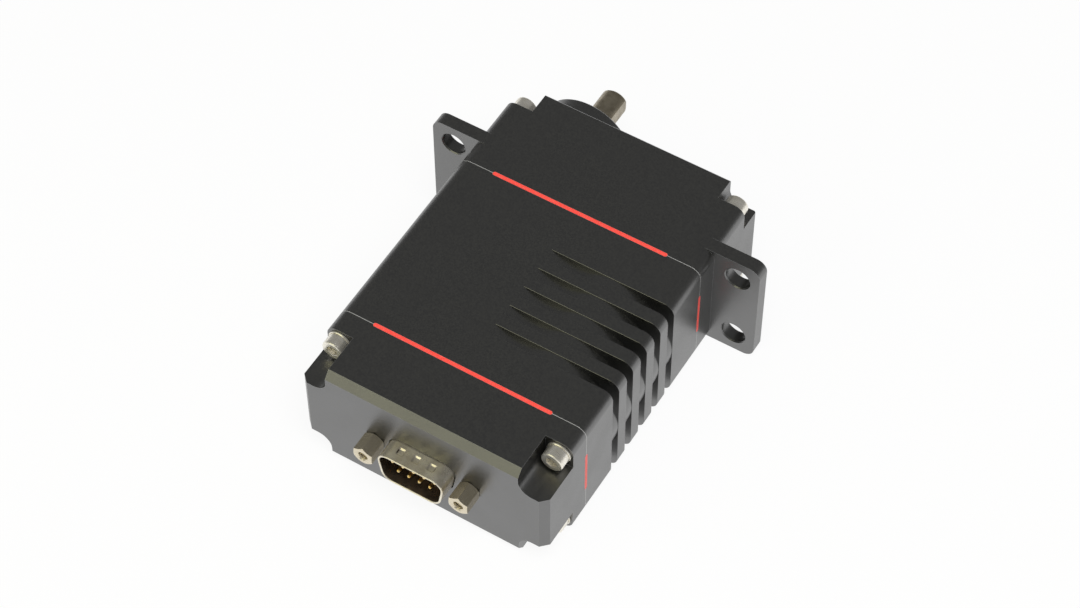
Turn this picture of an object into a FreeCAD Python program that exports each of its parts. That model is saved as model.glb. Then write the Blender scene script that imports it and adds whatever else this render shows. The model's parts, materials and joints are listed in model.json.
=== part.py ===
import FreeCAD, Part
import math
import os
import Sketcher

# Rotary joint actuator: three clamped housing sections that hold a brushless motor, a four-stage spur
# gear train, an output shaft, a position sensor, a controller board and a nine-pin connector.
#
# Frame: the origin is on the output axis at the front of its boss, +Y runs out along the shaft, +Z goes
# up through the broad top face and +X points from the output axis towards the motor. Millimetres.

doc = FreeCAD.newDocument("JointActuator")

# ---------------------------------------------------------------------------------------------------
# Driving sizes
# ---------------------------------------------------------------------------------------------------

SIZES = [
    # housing outline
    ("axis_inset", 15.3),            # output axis to the left side
    ("idler_distance", 16.0),        # output axis to the idler axis
    ("motor_distance", 16.5),        # idler axis to the motor axis
    ("motor_inset", 16.2),           # motor axis to the right side
    ("body_height", 32.5),
    ("rear_cover_length", 17.1),
    ("motor_housing_length", 50.3),
    ("gear_housing_length", 26.5),
    ("edge_radius", 2.8),            # long edges of the housing
    ("wall", 2.6),
    ("face_break", 0.35),            # small chamfer round the far end and its boss
    # connector face edges
    ("brow_depth", 1.7),             # chamfer of the top and bottom edges, along Y
    ("brow_drop", 2.05),             # the same chamfer, along Z
    ("cheek_chamfer", 1.8),          # chamfer of the upright edges
    # corner pockets and their screws
    ("screw_inset", 3.5),            # screw axis to both outer faces
    ("pocket_reach", 3.55),          # screw axis to the pocket's walls
    ("pocket_wall", 1.2),
    ("rear_pocket_depth", 11.5),
    ("front_pocket_depth", 6.0),
    ("screw_diameter", 3.0),
    ("screw_clearance", 0.2),        # radial
    ("screw_engagement", 8.0),       # thread length inside the motor housing
    ("head_diameter", 5.5),
    ("head_height", 3.0),
    ("head_break", 0.3),
    ("socket_width", 2.5),           # hexagon across flats
    ("socket_depth", 1.4),
    ("washer_diameter", 6.0),
    ("washer_thickness", 0.5),
    # gaskets
    ("gasket_thickness", 1.0),
    ("gasket_land", 1.2),            # width outside the cavity where the gasket is covered
    ("gasket_window_inset", 8.8),    # end of the exposed strips, from the housing's sides
    ("gasket_window_drop", 9.4),     # end of the exposed side strips, from the top and bottom
    # cooling slots round the motor
    ("slot_width", 2.7),
    ("slot_pitch", 6.05),
    ("slot_count", 5),
    ("slot_centre", 24.75),          # middle slot, from the rear parting
    ("slot_run_out", 15.8),          # motor axis to the tips of the slots
    ("slot_floor_radius", 16.15),    # just under the flat faces, so that each slot runs right round
    ("slot_cutter_radius", 18.0),
    # mounting ears
    ("ear_reach", 11.8),
    ("ear_thickness", 3.4),
    ("ear_setback", 6.3),            # front parting to the near face of the ears
    ("ear_corner", 2.8),
    ("ear_hole_diameter", 6.2),
    ("ear_hole_inset", 5.65),        # from the ear's outer edge
    ("ear_hole_spacing", 21.0),
    ("ear_hole_break", 0.25),
    # output shaft and its bearings
    ("boss_diameter", 23.0),
    ("boss_height", 6.4),
    ("front_wall", 4.0),
    ("shaft_diameter", 7.0),
    ("shaft_protrusion", 12.6),
    ("shaft_break", 0.4),
    ("shaft_flat", 2.9),             # output axis to the milled flat
    ("front_journal_diameter", 8.0), # shaft in the front bearing and the seal
    ("clip_thickness", 1.0),         # ring that keeps the front bearing in its seat
    ("clip_groove", 0.45),
    ("clip_height", 1.3),
    ("clip_gap", 6.0),
    ("shield", 0.4),                 # thickness of a bearing's shields
    ("front_bearing_diameter", 16.0),
    ("front_bearing_width", 5.0),
    ("front_bearing_depth", 4.0),    # boss face to the bearing
    ("bearing_race", 1.3),           # radial thickness of a race
    ("seal_diameter", 14.0),
    ("seal_width", 3.0),
    ("seal_relief", 0.5),            # hollow in the seal's outer face
    ("seal_lip", 0.8),               # radial thickness inside that hollow
    ("seal_rim", 0.9),               # and outside it
    ("lip_overlap", 1.4),            # how far the housing lip laps a bearing's outer race
    ("idler_seat_diameter", 6.0),    # shaft under the free idler
    ("idler_groove", 0.4),           # depth of the retaining ring's groove
    ("idler_ring_diameter", 8.0),
    ("idler_ring_thickness", 0.3),
    ("idler_ring_gap", 0.08),        # axial, ring to the free idler
    ("gear_seat_diameter", 8.0),
    ("shoulder_diameter", 9.6),
    ("rear_journal_diameter", 5.0),
    ("rear_bearing_diameter", 11.0),
    ("rear_bearing_width", 4.0),
    ("rear_race", 1.2),
    ("partition", 5.0),              # wall between the motor and the gears
    ("running_clearance", 0.03),     # radial, of everything that turns on a pin or shaft
    ("race_clearance", 0.05),        # radial, between the two races of a bearing
    ("air_clearance", 0.6),          # axial, between gears that pass each other
    # gear train, measured along Y from the front parting
    ("pinion_start", 0.8),
    ("first_width", 2.8),
    ("first_pinion_width", 3.8),
    ("second_width", 2.8),
    ("third_width", 3.4),
    ("final_width", 8.2),
    ("idler_pin_diameter", 3.0),
    ("idler_pin_seat", 3.0),         # depth of its press fits
    ("hub_diameter", 7.0),           # bosses that carry the idler pin
    ("hub_gap", 0.3),
    ("wheel_step", 0.2),             # axial, a wheel's face inside that of the pinion it meets
    ("backlash", 0.07),
    # motor
    ("motor_diameter", 28.0),
    ("motor_length", 40.0),
    ("motor_fit", 0.1),              # radial, can to bore
    ("motor_can_wall", 1.0),
    ("motor_cap", 4.0),              # thickness of the end caps
    ("motor_spigot", 1.5),           # their reach inside the can
    ("motor_pilot_diameter", 10.0),
    ("motor_pilot_height", 2.0),
    ("motor_shaft_diameter", 3.0),
    ("motor_shaft_gap", 0.2),        # shaft's rear end to the cap
    ("motor_bearing_diameter", 8.0),
    ("motor_bearing_width", 3.0),
    ("motor_race", 0.9),
    ("motor_screw_diameter", 2.5),
    ("motor_screw_circle", 19.0),
    ("motor_screw_head", 4.5),
    ("motor_screw_head_height", 1.6),
    ("motor_socket_width", 2.0),
    ("motor_socket_depth", 0.9),
    ("motor_screw_gap", 0.5),        # screw's end to the back of the cap
    ("stator_length", 24.0),
    ("stator_bore", 15.2),
    ("stator_yoke", 2.2),
    ("stator_tooth", 2.4),
    ("stator_shoe", 1.0),            # radial thickness of a tooth's shoe
    ("stator_mouth", 1.0),           # opening between neighbouring shoes
    ("coil_overhang", 2.4),
    ("coil_clearance", 0.3),
    ("coil_fit", 0.05),              # coil to the tooth inside it
    ("air_gap", 0.4),
    ("magnet_thickness", 1.8),
    ("magnet_gap", 0.5),             # between neighbouring rotor magnets
    # boards and position sensor
    ("board_thickness", 1.6),
    ("board_groove", 1.0),
    ("board_level", -7.0),           # underside of the controller board
    ("board_end_gap", 3.0),          # rear parting to the controller board
    ("board_sensor_gap", 1.7),       # controller board to the sensor board
    ("groove_clearance", 0.05),
    ("chip_height", 1.5),
    ("chip_margin", 4.0),            # board's rear edge to the first chips
    ("chip_row_left", -7.0),         # left sides of the two rows of chips
    ("chip_row_right", 5.0),
    ("processor_size", 9.0),
    ("driver_width", 6.0),
    ("driver_length", 5.0),
    ("driver_pitch", 8.0),
    ("converter_width", 6.0),
    ("converter_length", 8.0),
    ("converter_gap", 5.0),          # processor to the converter
    ("magnet_diameter", 6.0),
    ("magnet_length", 2.5),
    ("magnet_cup_wall", 1.0),
    ("sensor_gap", 1.0),
    ("cup_gap", 0.8),                # partition to the magnet cup
    ("cup_grip", 1.7),               # cup on the shaft's rear end
    ("cup_web", 0.5),
    ("sensor_board_width", 24.0),
    ("sensor_board_height", 14.0),
    ("sensor_post_spacing", 18.0),
    ("sensor_post_diameter", 5.0),
    ("sensor_chip_width", 5.0),
    ("sensor_chip_height", 4.0),
    ("post_thread_share", 0.6),      # share of a post's length that is threaded
    ("post_screw_share", 0.8),       # share of that thread that its screw fills
    ("small_screw_diameter", 2.0),
    ("small_head_diameter", 3.8),
    ("small_head_height", 1.4),
    ("small_socket_width", 1.5),
    ("small_socket_depth", 0.7),
    ("bay_wall", 1.6),               # between the electronics bay and the motor bore
    # nine-pin connector
    ("panel", 1.0),                  # face left in front of the connector flange
    ("face_wall", 3.0),
    ("flange_width", 30.8),
    ("flange_height", 12.5),
    ("flange_thickness", 1.0),
    ("shell_width", 16.92),          # inside, at the long side
    ("shell_height", 8.36),          # inside
    ("shell_corner", 2.4),
    ("shell_slant", 10.0),           # degrees
    ("shell_thickness", 0.5),
    ("shell_protrusion", 5.1),
    ("panel_clearance", 0.25),
    ("connector_pitch", 2.77),
    ("connector_row", 2.84),
    ("contact_diameter", 1.0),
    ("contact_recess", 1.3),         # shell rim to the tips of the contacts
    ("contact_lead", 0.5),           # tapered tip
    ("contact_tail", 5.5),
    ("insulator_depth", 6.0),
    ("insulator_width", 19.0),
    ("insulator_height", 10.6),
    ("jack_spacing", 24.99),
    ("jack_hex", 4.8),
    ("jack_length", 5.2),
    ("jack_stud_diameter", 2.84),
    ("jack_stud_length", 4.2),
    ("jack_bore_diameter", 2.4),
    ("jack_bore_depth", 4.4),
    ("clinch_nut_diameter", 5.0),
    ("clinch_nut_length", 2.4),
    ("interface_board_width", 30.0),
    ("interface_board_height", 20.0),
    # workshop allowances
    ("overcut", 1.0),                # how far a cut runs on past the metal
    ("thread_run_out", 1.0),         # threaded hole beyond its screw's end
]

MOTOR_PINION_TEETH = 16
FIRST_WHEEL_TEETH = 50
FIRST_PINION_TEETH = 18
SECOND_WHEEL_TEETH = 46
SECOND_PINION_TEETH = 16
THIRD_WHEEL_TEETH = 48
THIRD_PINION_TEETH = 12
OUTPUT_TEETH = 28
PRESSURE_ANGLE = math.radians(20)
ADDENDUM = 0.8       # stub teeth, in modules
DEDENDUM = 1.0
FLANK_START = 0.02   # the flanks' lowest points above the root circle, in millimetres
DRIVER_CHIPS = 3

STATOR_TEETH = 9
ROTOR_POLES = 6
CONTACTS_LONG_ROW = 5
CONTACTS_SHORT_ROW = 4

sheet = doc.addObject("Spreadsheet::Sheet", "Sizes")
for row, (alias, value) in enumerate(SIZES, start=1):
    sheet.set("A%d" % row, alias)
    sheet.set("B%d" % row, str(value))
    sheet.setAlias("B%d" % row, alias)
doc.recompute()

# Places that several pieces share, as expressions on the sheet.
IDLER_X = "(Sizes.idler_distance)"
MOTOR_X = "(Sizes.idler_distance + Sizes.motor_distance)"
LEFT = "(-Sizes.axis_inset)"
RIGHT = "(Sizes.idler_distance + Sizes.motor_distance + Sizes.motor_inset)"
MIDDLE = "((" + RIGHT + " + " + LEFT + ") / 2)"
TOP = "(Sizes.body_height / 2)"
BOTTOM = "(-Sizes.body_height / 2)"
END_FACE = "(-Sizes.boss_height)"
FRONT_PARTING = "(-Sizes.boss_height - Sizes.gear_housing_length)"
REAR_PARTING = "(" + FRONT_PARTING + " - Sizes.motor_housing_length)"
CONNECTOR_FACE = "(" + REAR_PARTING + " - Sizes.rear_cover_length)"
MOTOR_SEAT = "(" + FRONT_PARTING + " - Sizes.partition)"
PILLAR_RADIUS = "(Sizes.pocket_reach + Sizes.pocket_wall)"
BAY_RIGHT = "(" + MOTOR_X + " - Sizes.motor_diameter / 2 - Sizes.motor_fit - Sizes.bay_wall)"
CORNERS = [(-1, -1), (1, -1), (1, 1), (-1, 1)]

# The gears' places along Y.
FIRST_START = "(" + FRONT_PARTING + " + Sizes.pinion_start + Sizes.wheel_step)"
FIRST_PINION_START = "(" + FIRST_START + " + Sizes.first_width)"
SECOND_START = "(" + FIRST_PINION_START + " + Sizes.air_clearance)"
SECOND_PINION_START = "(" + SECOND_START + " + Sizes.second_width)"
THIRD_START = "(" + SECOND_PINION_START + " + Sizes.air_clearance)"
THIRD_PINION_START = "(" + THIRD_START + " + Sizes.third_width)"
SECOND_END = "(" + THIRD_PINION_START + " + Sizes.air_clearance / 2)"
FINAL_START = "(" + THIRD_PINION_START + " + Sizes.air_clearance + Sizes.wheel_step)"
FINAL_END = "(" + FINAL_START + " + Sizes.final_width)"
INNER_FRONT = "(" + END_FACE + " - Sizes.front_wall)"
THIRD_END = "(" + FINAL_END + " + Sizes.air_clearance / 2)"
BEARING_REAR = "(0 - Sizes.front_bearing_depth - Sizes.front_bearing_width)"
CLIP_PLACE = "(" + BEARING_REAR + " - Sizes.clip_thickness)"
RING_START = "(" + SECOND_START + " - Sizes.idler_ring_gap - Sizes.idler_ring_thickness)"
RING_END = "(" + SECOND_START + " - Sizes.idler_ring_gap)"
IDLER_GROOVE_RADIUS = "(Sizes.idler_seat_diameter / 2 - Sizes.idler_groove)"

# Rear end of the output shaft, the magnet on it and the sensor board behind them.
CUP_START = "(" + MOTOR_SEAT + " - Sizes.cup_gap)"
SHAFT_REAR = "(" + CUP_START + " - Sizes.cup_grip)"
MAGNET_FRONT = "(" + SHAFT_REAR + " - Sizes.cup_web)"
MAGNET_REAR = "(" + MAGNET_FRONT + " - Sizes.magnet_length)"
SENSOR_FACE = "(" + MAGNET_REAR + " - Sizes.sensor_gap - Sizes.chip_height)"
SENSOR_POST = "(" + MOTOR_SEAT + " - " + SENSOR_FACE + ")"
SENSOR_THREAD = "(Sizes.post_thread_share * " + SENSOR_POST + ")"
CONTROLLER_FRONT = "(" + SENSOR_FACE + " - Sizes.board_thickness - Sizes.board_sensor_gap)"


def minus(expression):
    return "(-1 * " + expression + ")"


def plus(*terms):
    return "(" + " + ".join(terms) + ")"


def size(name):
    return "Sizes." + name


def half(name):
    return "(Sizes." + name + " / 2)"


def number(expression):
    """The present value of an expression on the sheet."""
    value = sheet.evalExpression(expression)
    return float(getattr(value, "Value", value))


# ---------------------------------------------------------------------------------------------------
# Sketch, body and primitive helpers
# ---------------------------------------------------------------------------------------------------


def new_body(label):
    body = doc.addObject("PartDesign::Body", label)
    body.Label = label
    return body


def new_sketch(body, name, role, offset):
    """A sketch on one of the body's own origin planes, moved by offset along the plane's normal."""
    sketch = body.newObject("Sketcher::SketchObject", body.Name + "_" + name)
    for feature in body.Origin.OriginFeatures:
        if feature.Role == role:
            sketch.AttachmentSupport = [(feature, "")]
    sketch.MapMode = "FlatFace"
    if offset != "0":
        sketch.setExpression("AttachmentOffset.Base.z", offset)
    return sketch


def cross_section(body, name, place):
    """A sketch across the Y axis. Its own normal is -Y."""
    return new_sketch(body, name, "XZ_Plane", minus(place))


def bind(sketch, kind, references, expression):
    index = sketch.addConstraint(Sketcher.Constraint(kind, *references, number(expression)))
    sketch.setExpression("Constraints[%d]" % index, expression)


def pin_point(sketch, geometry, position, across, up):
    """Ties a point to the sketch's origin by its two coordinates."""
    if across == "0":
        sketch.addConstraint(Sketcher.Constraint("PointOnObject", geometry, position, -2))
    else:
        bind(sketch, "DistanceX", (-1, 1, geometry, position), across)
    if up == "0":
        sketch.addConstraint(Sketcher.Constraint("PointOnObject", geometry, position, -1))
    else:
        bind(sketch, "DistanceY", (-1, 1, geometry, position), up)


def add_outline(sketch, corners):
    """A closed outline of straight sides through corners given as pairs of expressions."""
    points = [FreeCAD.Vector(number(across), number(up), 0) for across, up in corners]
    first = sketch.GeometryCount
    count = len(points)
    for i in range(count):
        sketch.addGeometry(Part.LineSegment(points[i], points[(i + 1) % count]), False)
    for i in range(count):
        following = first + (i + 1) % count
        sketch.addConstraint(Sketcher.Constraint("Coincident", first + i, 2, following, 1))
    for i, (across, up) in enumerate(corners):
        pin_point(sketch, first + i, 1, across, up)


def add_box_outline(sketch, left, right, low, high):
    add_outline(sketch, [(left, low), (right, low), (right, high), (left, high)])


def add_circle(sketch, across, up, diameter):
    centre = FreeCAD.Vector(number(across), number(up), 0)
    circle = Part.Circle(centre, FreeCAD.Vector(0, 0, 1), number(diameter) / 2)
    index = sketch.addGeometry(circle, False)
    pin_point(sketch, index, 3, across, up)
    bind(sketch, "Diameter", (index,), diameter)


def add_arc(sketch, centre, radius, start, end):
    """An anticlockwise arc from the direction of start to that of end, both points on it."""
    first = math.atan2(start.y - centre.y, start.x - centre.x)
    last = math.atan2(end.y - centre.y, end.x - centre.x)
    if last < first:
        last += 2 * math.pi
    circle = Part.Circle(centre, FreeCAD.Vector(0, 0, 1), radius)
    return sketch.addGeometry(Part.ArcOfCircle(circle, first, last), False)


def add_bay_outline(sketch, sides, pillars, radius):
    """A rectangle whose listed corners give way to round pillars on the housing screws' axes."""
    left, right, low, high = sides
    across = [left, right, right, left]
    up = [low, low, high, high]
    entries = []
    for i, (sign_x, sign_z) in enumerate(CORNERS):
        corner = FreeCAD.Vector(number(across[i]), number(up[i]), 0)
        if (sign_x, sign_z) not in pillars:
            entries.append((corner, corner, None))
            continue
        centre_x, centre_z = screw_place(sign_x, sign_z)
        centre = FreeCAD.Vector(number(centre_x), number(centre_z), 0)
        reach = number(radius)
        level = corner.y - centre.y
        side = corner.x - centre.x
        flat = FreeCAD.Vector(centre.x - sign_x * math.sqrt(reach ** 2 - level ** 2), corner.y, 0)
        upright = FreeCAD.Vector(corner.x, centre.y - sign_z * math.sqrt(reach ** 2 - side ** 2), 0)
        if sign_x * sign_z > 0:
            arc = add_arc(sketch, centre, reach, flat, upright)
            ends = (1, 2)
        else:
            arc = add_arc(sketch, centre, reach, upright, flat)
            ends = (2, 1)
        pin_point(sketch, arc, 3, centre_x, centre_z)
        bind(sketch, "Radius", (arc,), radius)
        entries.append((flat, upright, (arc, ends[0], ends[1])))
    lines = []
    for i in range(4):
        following = (i + 1) % 4
        along_x = i % 2 == 0
        start = entries[i][0] if along_x else entries[i][1]
        end = entries[following][0] if along_x else entries[following][1]
        lines.append(sketch.addGeometry(Part.LineSegment(start, end), False))
        direction = "Horizontal" if along_x else "Vertical"
        sketch.addConstraint(Sketcher.Constraint(direction, lines[i]))
        if along_x:
            bind(sketch, "DistanceY", (-1, 1, lines[i], 1), up[i])
        else:
            bind(sketch, "DistanceX", (-1, 1, lines[i], 1), across[i])
    for i in range(4):
        before = lines[i - 1]
        after = lines[i]
        arc = entries[i][2]
        if arc is None:
            sketch.addConstraint(Sketcher.Constraint("Coincident", before, 2, after, 1))
            continue
        flat_end, upright_end = arc[1], arc[2]
        before_end = upright_end if i % 2 == 0 else flat_end
        after_end = flat_end if i % 2 == 0 else upright_end
        sketch.addConstraint(Sketcher.Constraint("Coincident", before, 2, arc[0], before_end))
        sketch.addConstraint(Sketcher.Constraint("Coincident", after, 1, arc[0], after_end))


def extrude(body, sketch, kind, length, backward):
    """A Pad or Pocket. It runs towards +Y from a cross-section unless backward is set."""
    feature = body.newObject("PartDesign::" + kind, sketch.Name + "_" + kind)
    feature.Profile = sketch
    feature.setExpression("Length", length)
    feature.Reversed = (kind == "Pad") != backward
    sketch.Visibility = False
    body.Tip = feature
    return feature


def slab(body, name, place, length, draw, kind="Pad", backward=False):
    """One cross-section, drawn by the given function, and its Pad or Pocket."""
    sketch = cross_section(body, name, place)
    draw(sketch)
    return extrude(body, sketch, kind, length, backward)


def find_edges(feature, test):
    names = []
    for i, edge in enumerate(feature.Shape.Edges, start=1):
        if test(edge):
            names.append("Edge%d" % i)
    return names


def dress(body, kind, base, edges, expression):
    """A Fillet or Chamfer on the named edges of the base feature."""
    feature = body.newObject("PartDesign::" + kind, base.Name + "_" + kind)
    feature.Base = (base, edges)
    feature.setExpression("Radius" if kind == "Fillet" else "Size", expression)
    body.Tip = feature
    return feature


def runs_along(edge, axis):
    """True for a straight edge parallel to the axis with that index."""
    if edge.Curve.TypeId != "Part::GeomLine":
        return False
    direction = edge.Curve.Direction
    return abs(abs((direction.x, direction.y, direction.z)[axis]) - 1) < 1e-6


def near(first, second):
    return abs(first - second) < 1e-4


def turned(label, x, y, profile, z="0"):
    """A turned piece about an axis along Y, from corners given as (radius, place along Y)."""
    body = new_body(label)
    sketch = new_sketch(body, "profile", "XY_Plane", "0")
    add_outline(sketch, profile)
    feature = body.newObject("PartDesign::Revolution", label + "_turning")
    feature.Profile = sketch
    feature.ReferenceAxis = (sketch, ["V_Axis"])
    feature.Angle = 360
    sketch.Visibility = False
    body.Tip = feature
    for axis, expression in (("x", x), ("y", y), ("z", z)):
        if expression != "0":
            body.setExpression("Placement.Base." + axis, expression)
    return body


def ring(label, x, y, outer, inner, width, z="0"):
    """A plain ring from its outer and inner radius."""
    corners = [(inner, "0"), (outer, "0"), (outer, width), (inner, width)]
    return turned(label, x, y, corners, z)


ALONG_Y = FreeCAD.Rotation(FreeCAD.Vector(1, 0, 0), -90)


def place_primitive(feature, x, y, z):
    feature.Placement = FreeCAD.Placement(FreeCAD.Vector(), ALONG_Y)
    for axis, expression in (("x", x), ("y", y), ("z", z)):
        if expression != "0":
            feature.setExpression("Placement.Base." + axis, expression)


def rod(name, x, y, z, diameter, length):
    """A round bar that starts at the given place and runs towards +Y."""
    feature = doc.addObject("Part::Cylinder", name)
    feature.setExpression("Radius", "(" + diameter + ") / 2")
    feature.setExpression("Height", length)
    place_primitive(feature, x, y, z)
    return feature


def hexagon(name, x, y, z, across_flats, length):
    """A hexagonal bar that starts at the given place and runs towards +Y."""
    feature = doc.addObject("Part::Prism", name)
    feature.Polygon = 6
    feature.setExpression("Circumradius", "(" + across_flats + ") / sqrt(3)")
    feature.setExpression("Height", length)
    place_primitive(feature, x, y, z)
    return feature


def block(name, x, y, z, width, length, height):
    feature = doc.addObject("Part::Box", name)
    feature.setExpression("Length", width)
    feature.setExpression("Width", length)
    feature.setExpression("Height", height)
    for axis, expression in (("x", x), ("y", y), ("z", z)):
        feature.setExpression("Placement.Base." + axis, expression)
    return feature


def cut(name, base, tools):
    tool = tools[0]
    if len(tools) > 1:
        tool = fuse(name + "_tools", tools)
    feature = doc.addObject("Part::Cut", name)
    feature.Base = base
    feature.Tool = tool
    return feature


def fuse(name, pieces):
    feature = doc.addObject("Part::MultiFuse", name)
    feature.Shapes = pieces
    return feature


def group(name, pieces):
    """Identical pieces that share one node as separate solids."""
    feature = doc.addObject("Part::Compound", name)
    feature.Links = pieces
    return feature


def screw_place(sign_x, sign_z):
    """Where a housing screw stands, as expressions, for one corner."""
    x = plus(LEFT, size("screw_inset")) if sign_x < 0 else "(" + RIGHT + " - Sizes.screw_inset)"
    z = plus(BOTTOM, size("screw_inset")) if sign_z < 0 else "(" + TOP + " - Sizes.screw_inset)"
    return x, z


# ---------------------------------------------------------------------------------------------------
# Gaskets and the outlines that they share with the housings
# ---------------------------------------------------------------------------------------------------


def draw_body_outline(sketch):
    add_box_outline(sketch, LEFT, RIGHT, BOTTOM, TOP)


def draw_cavity(sketch):
    sides = (plus(LEFT, size("wall")), "(" + RIGHT + " - Sizes.wall)",
             plus(BOTTOM, size("wall")), "(" + TOP + " - Sizes.wall)")
    add_bay_outline(sketch, sides, CORNERS, PILLAR_RADIUS)


def draw_gasket_land(sketch):
    inset = "(Sizes.wall - Sizes.gasket_land)"
    sides = (plus(LEFT, inset), "(" + RIGHT + " - " + inset + ")",
             plus(BOTTOM, inset), "(" + TOP + " - " + inset + ")")
    add_bay_outline(sketch, sides, CORNERS, "(" + PILLAR_RADIUS + " - Sizes.gasket_land)")


def add_slot_outline(sketch, low, high, middle, width):
    """A round-ended slot along the sketch's first axis."""
    radius = number(width) / 2
    level = number(middle)
    start = FreeCAD.Vector(number(low) + radius, level, 0)
    end = FreeCAD.Vector(number(high) - radius, level, 0)
    rise = FreeCAD.Vector(0, radius, 0)
    lower = sketch.addGeometry(Part.LineSegment(start - rise, end - rise), False)
    right = add_arc(sketch, end, radius, end - rise, end + rise)
    upper = sketch.addGeometry(Part.LineSegment(end + rise, start + rise), False)
    left = add_arc(sketch, start, radius, start + rise, start - rise)
    for first, second in ((lower, right), (right, upper), (upper, left), (left, lower)):
        sketch.addConstraint(Sketcher.Constraint("Tangent", first, 2, second, 1))
    sketch.addConstraint(Sketcher.Constraint("Horizontal", lower))
    pin_point(sketch, left, 3, plus(low, "(" + width + ") / 2"), middle)
    bind(sketch, "DistanceX", (-1, 1, right, 3), "(" + high + " - (" + width + ") / 2)")
    bind(sketch, "Radius", (left,), "(" + width + ") / 2")


def make_gasket(label, parting):
    """A flat silicone frame: covered round the corners, flush with the housing between them."""
    body = new_body(label)
    start = "(" + parting + " - Sizes.gasket_thickness / 2)"
    slab(body, "land", start, size("gasket_thickness"), draw_gasket_land)
    sketch = new_sketch(body, "broad", "XY_Plane", "0")
    add_slot_outline(sketch, plus(LEFT, size("gasket_window_inset")),
                     "(" + RIGHT + " - Sizes.gasket_window_inset)", parting, size("gasket_thickness"))
    feature = extrude(body, sketch, "Pad", size("body_height"), False)
    feature.Reversed = False
    feature.Midplane = True
    sketch = new_sketch(body, "narrow", "YZ_Plane", MIDDLE)
    sketch.AttachmentOffset = FreeCAD.Placement(
        FreeCAD.Vector(), FreeCAD.Rotation(FreeCAD.Vector(0, 0, 1), 90))
    sketch.setExpression("AttachmentOffset.Base.z", MIDDLE)
    add_slot_outline(sketch, plus(BOTTOM, size("gasket_window_drop")),
                     "(" + TOP + " - Sizes.gasket_window_drop)", minus(parting),
                     size("gasket_thickness"))
    feature = extrude(body, sketch, "Pad", "(" + RIGHT + " - " + LEFT + ")", False)
    feature.Reversed = False
    feature.Midplane = True
    slab(body, "opening", "(" + start + " - Sizes.overcut)", "(Sizes.gasket_thickness + 2 * Sizes.overcut)",
         draw_cavity, "Pocket")
    return body


rear_gasket = make_gasket("rear_gasket", REAR_PARTING)
front_gasket = make_gasket("front_gasket", FRONT_PARTING)
doc.recompute()


# ---------------------------------------------------------------------------------------------------
# Housing sections
# ---------------------------------------------------------------------------------------------------


def at_screws(sketch, diameter):
    for sign_x, sign_z in CORNERS:
        x, z = screw_place(sign_x, sign_z)
        add_circle(sketch, x, z, diameter)


def draw_screw_clearance(sketch):
    at_screws(sketch, "(Sizes.screw_diameter + 2 * Sizes.screw_clearance)")


def draw_screw_threads(sketch):
    at_screws(sketch, size("screw_diameter"))


def draw_corner_pockets(sketch):
    """Four pockets open to two sides, rounded inside about the screws' axes."""
    reach = number(size("pocket_reach"))
    for sign_x, sign_z in CORNERS:
        x, z = screw_place(sign_x, sign_z)
        beyond_x = plus(RIGHT, size("overcut")) if sign_x > 0 else "(" + LEFT + " - Sizes.overcut)"
        beyond_z = plus(TOP, size("overcut")) if sign_z > 0 else "(" + BOTTOM + " - Sizes.overcut)"
        centre = FreeCAD.Vector(number(x), number(z), 0)
        side = FreeCAD.Vector(centre.x - sign_x * reach, centre.y, 0)
        floor = FreeCAD.Vector(centre.x, centre.y - sign_z * reach, 0)
        outer_x = number(beyond_x)
        outer_z = number(beyond_z)
        if sign_x * sign_z > 0:
            arc = add_arc(sketch, centre, reach, side, floor)
            side_end, floor_end = 1, 2
        else:
            arc = add_arc(sketch, centre, reach, floor, side)
            side_end, floor_end = 2, 1
        path = [side, FreeCAD.Vector(side.x, outer_z, 0), FreeCAD.Vector(outer_x, outer_z, 0),
                FreeCAD.Vector(outer_x, floor.y, 0), floor]
        lines = []
        for start, end in zip(path, path[1:]):
            lines.append(sketch.addGeometry(Part.LineSegment(start, end), False))
        for before, after in zip(lines, lines[1:]):
            sketch.addConstraint(Sketcher.Constraint("Coincident", before, 2, after, 1))
        for line, direction in zip(lines, ("Vertical", "Horizontal", "Vertical", "Horizontal")):
            sketch.addConstraint(Sketcher.Constraint(direction, line))
        pin_point(sketch, lines[1], 2, beyond_x, beyond_z)
        pin_point(sketch, arc, 3, x, z)
        bind(sketch, "Radius", (arc,), size("pocket_reach"))
        sketch.addConstraint(Sketcher.Constraint("Tangent", arc, side_end, lines[0], 1))
        sketch.addConstraint(Sketcher.Constraint("Tangent", arc, floor_end, lines[3], 2))


def housing_block(label, place, length):
    """One length of the housing's outline with its long edges rounded."""
    body = new_body(label)
    block_pad = slab(body, "block", place, length, draw_body_outline)
    doc.recompute()
    long_edges = find_edges(block_pad, lambda edge: runs_along(edge, 1))
    dress(body, "Fillet", block_pad, long_edges, size("edge_radius"))
    doc.recompute()
    return body


def shell_outline(offset):
    """Corners of the connector's trapezoid, grown outwards by offset."""
    slope = "tan(Sizes.shell_slant)"
    lean = "(" + offset + ") / cos(Sizes.shell_slant)"
    long_half = "(Sizes.shell_width / 2 + (" + offset + ") * " + slope + " + " + lean + ")"
    short_half = ("(Sizes.shell_width / 2 - (Sizes.shell_height + (" + offset + ")) * " + slope
                  + " + " + lean + ")")
    rise = "(Sizes.shell_height / 2 + (" + offset + "))"
    return [("(" + MIDDLE + " - " + short_half + ")", minus(rise)), (plus(MIDDLE, short_half), minus(rise)),
            (plus(MIDDLE, long_half), rise), ("(" + MIDDLE + " - " + long_half + ")", rise)]


def trapezoid_edges(feature, offset):
    """The four edges along Y at the corners of the connector's outline."""
    corners = [(number(across), number(up)) for across, up in shell_outline(offset)]

    def at_corner(edge):
        if not runs_along(edge, 1):
            return False
        point = edge.Vertexes[0].Point
        return any(near(point.x, x) and near(point.z, z) for x, z in corners)

    return find_edges(feature, at_corner)


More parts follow.
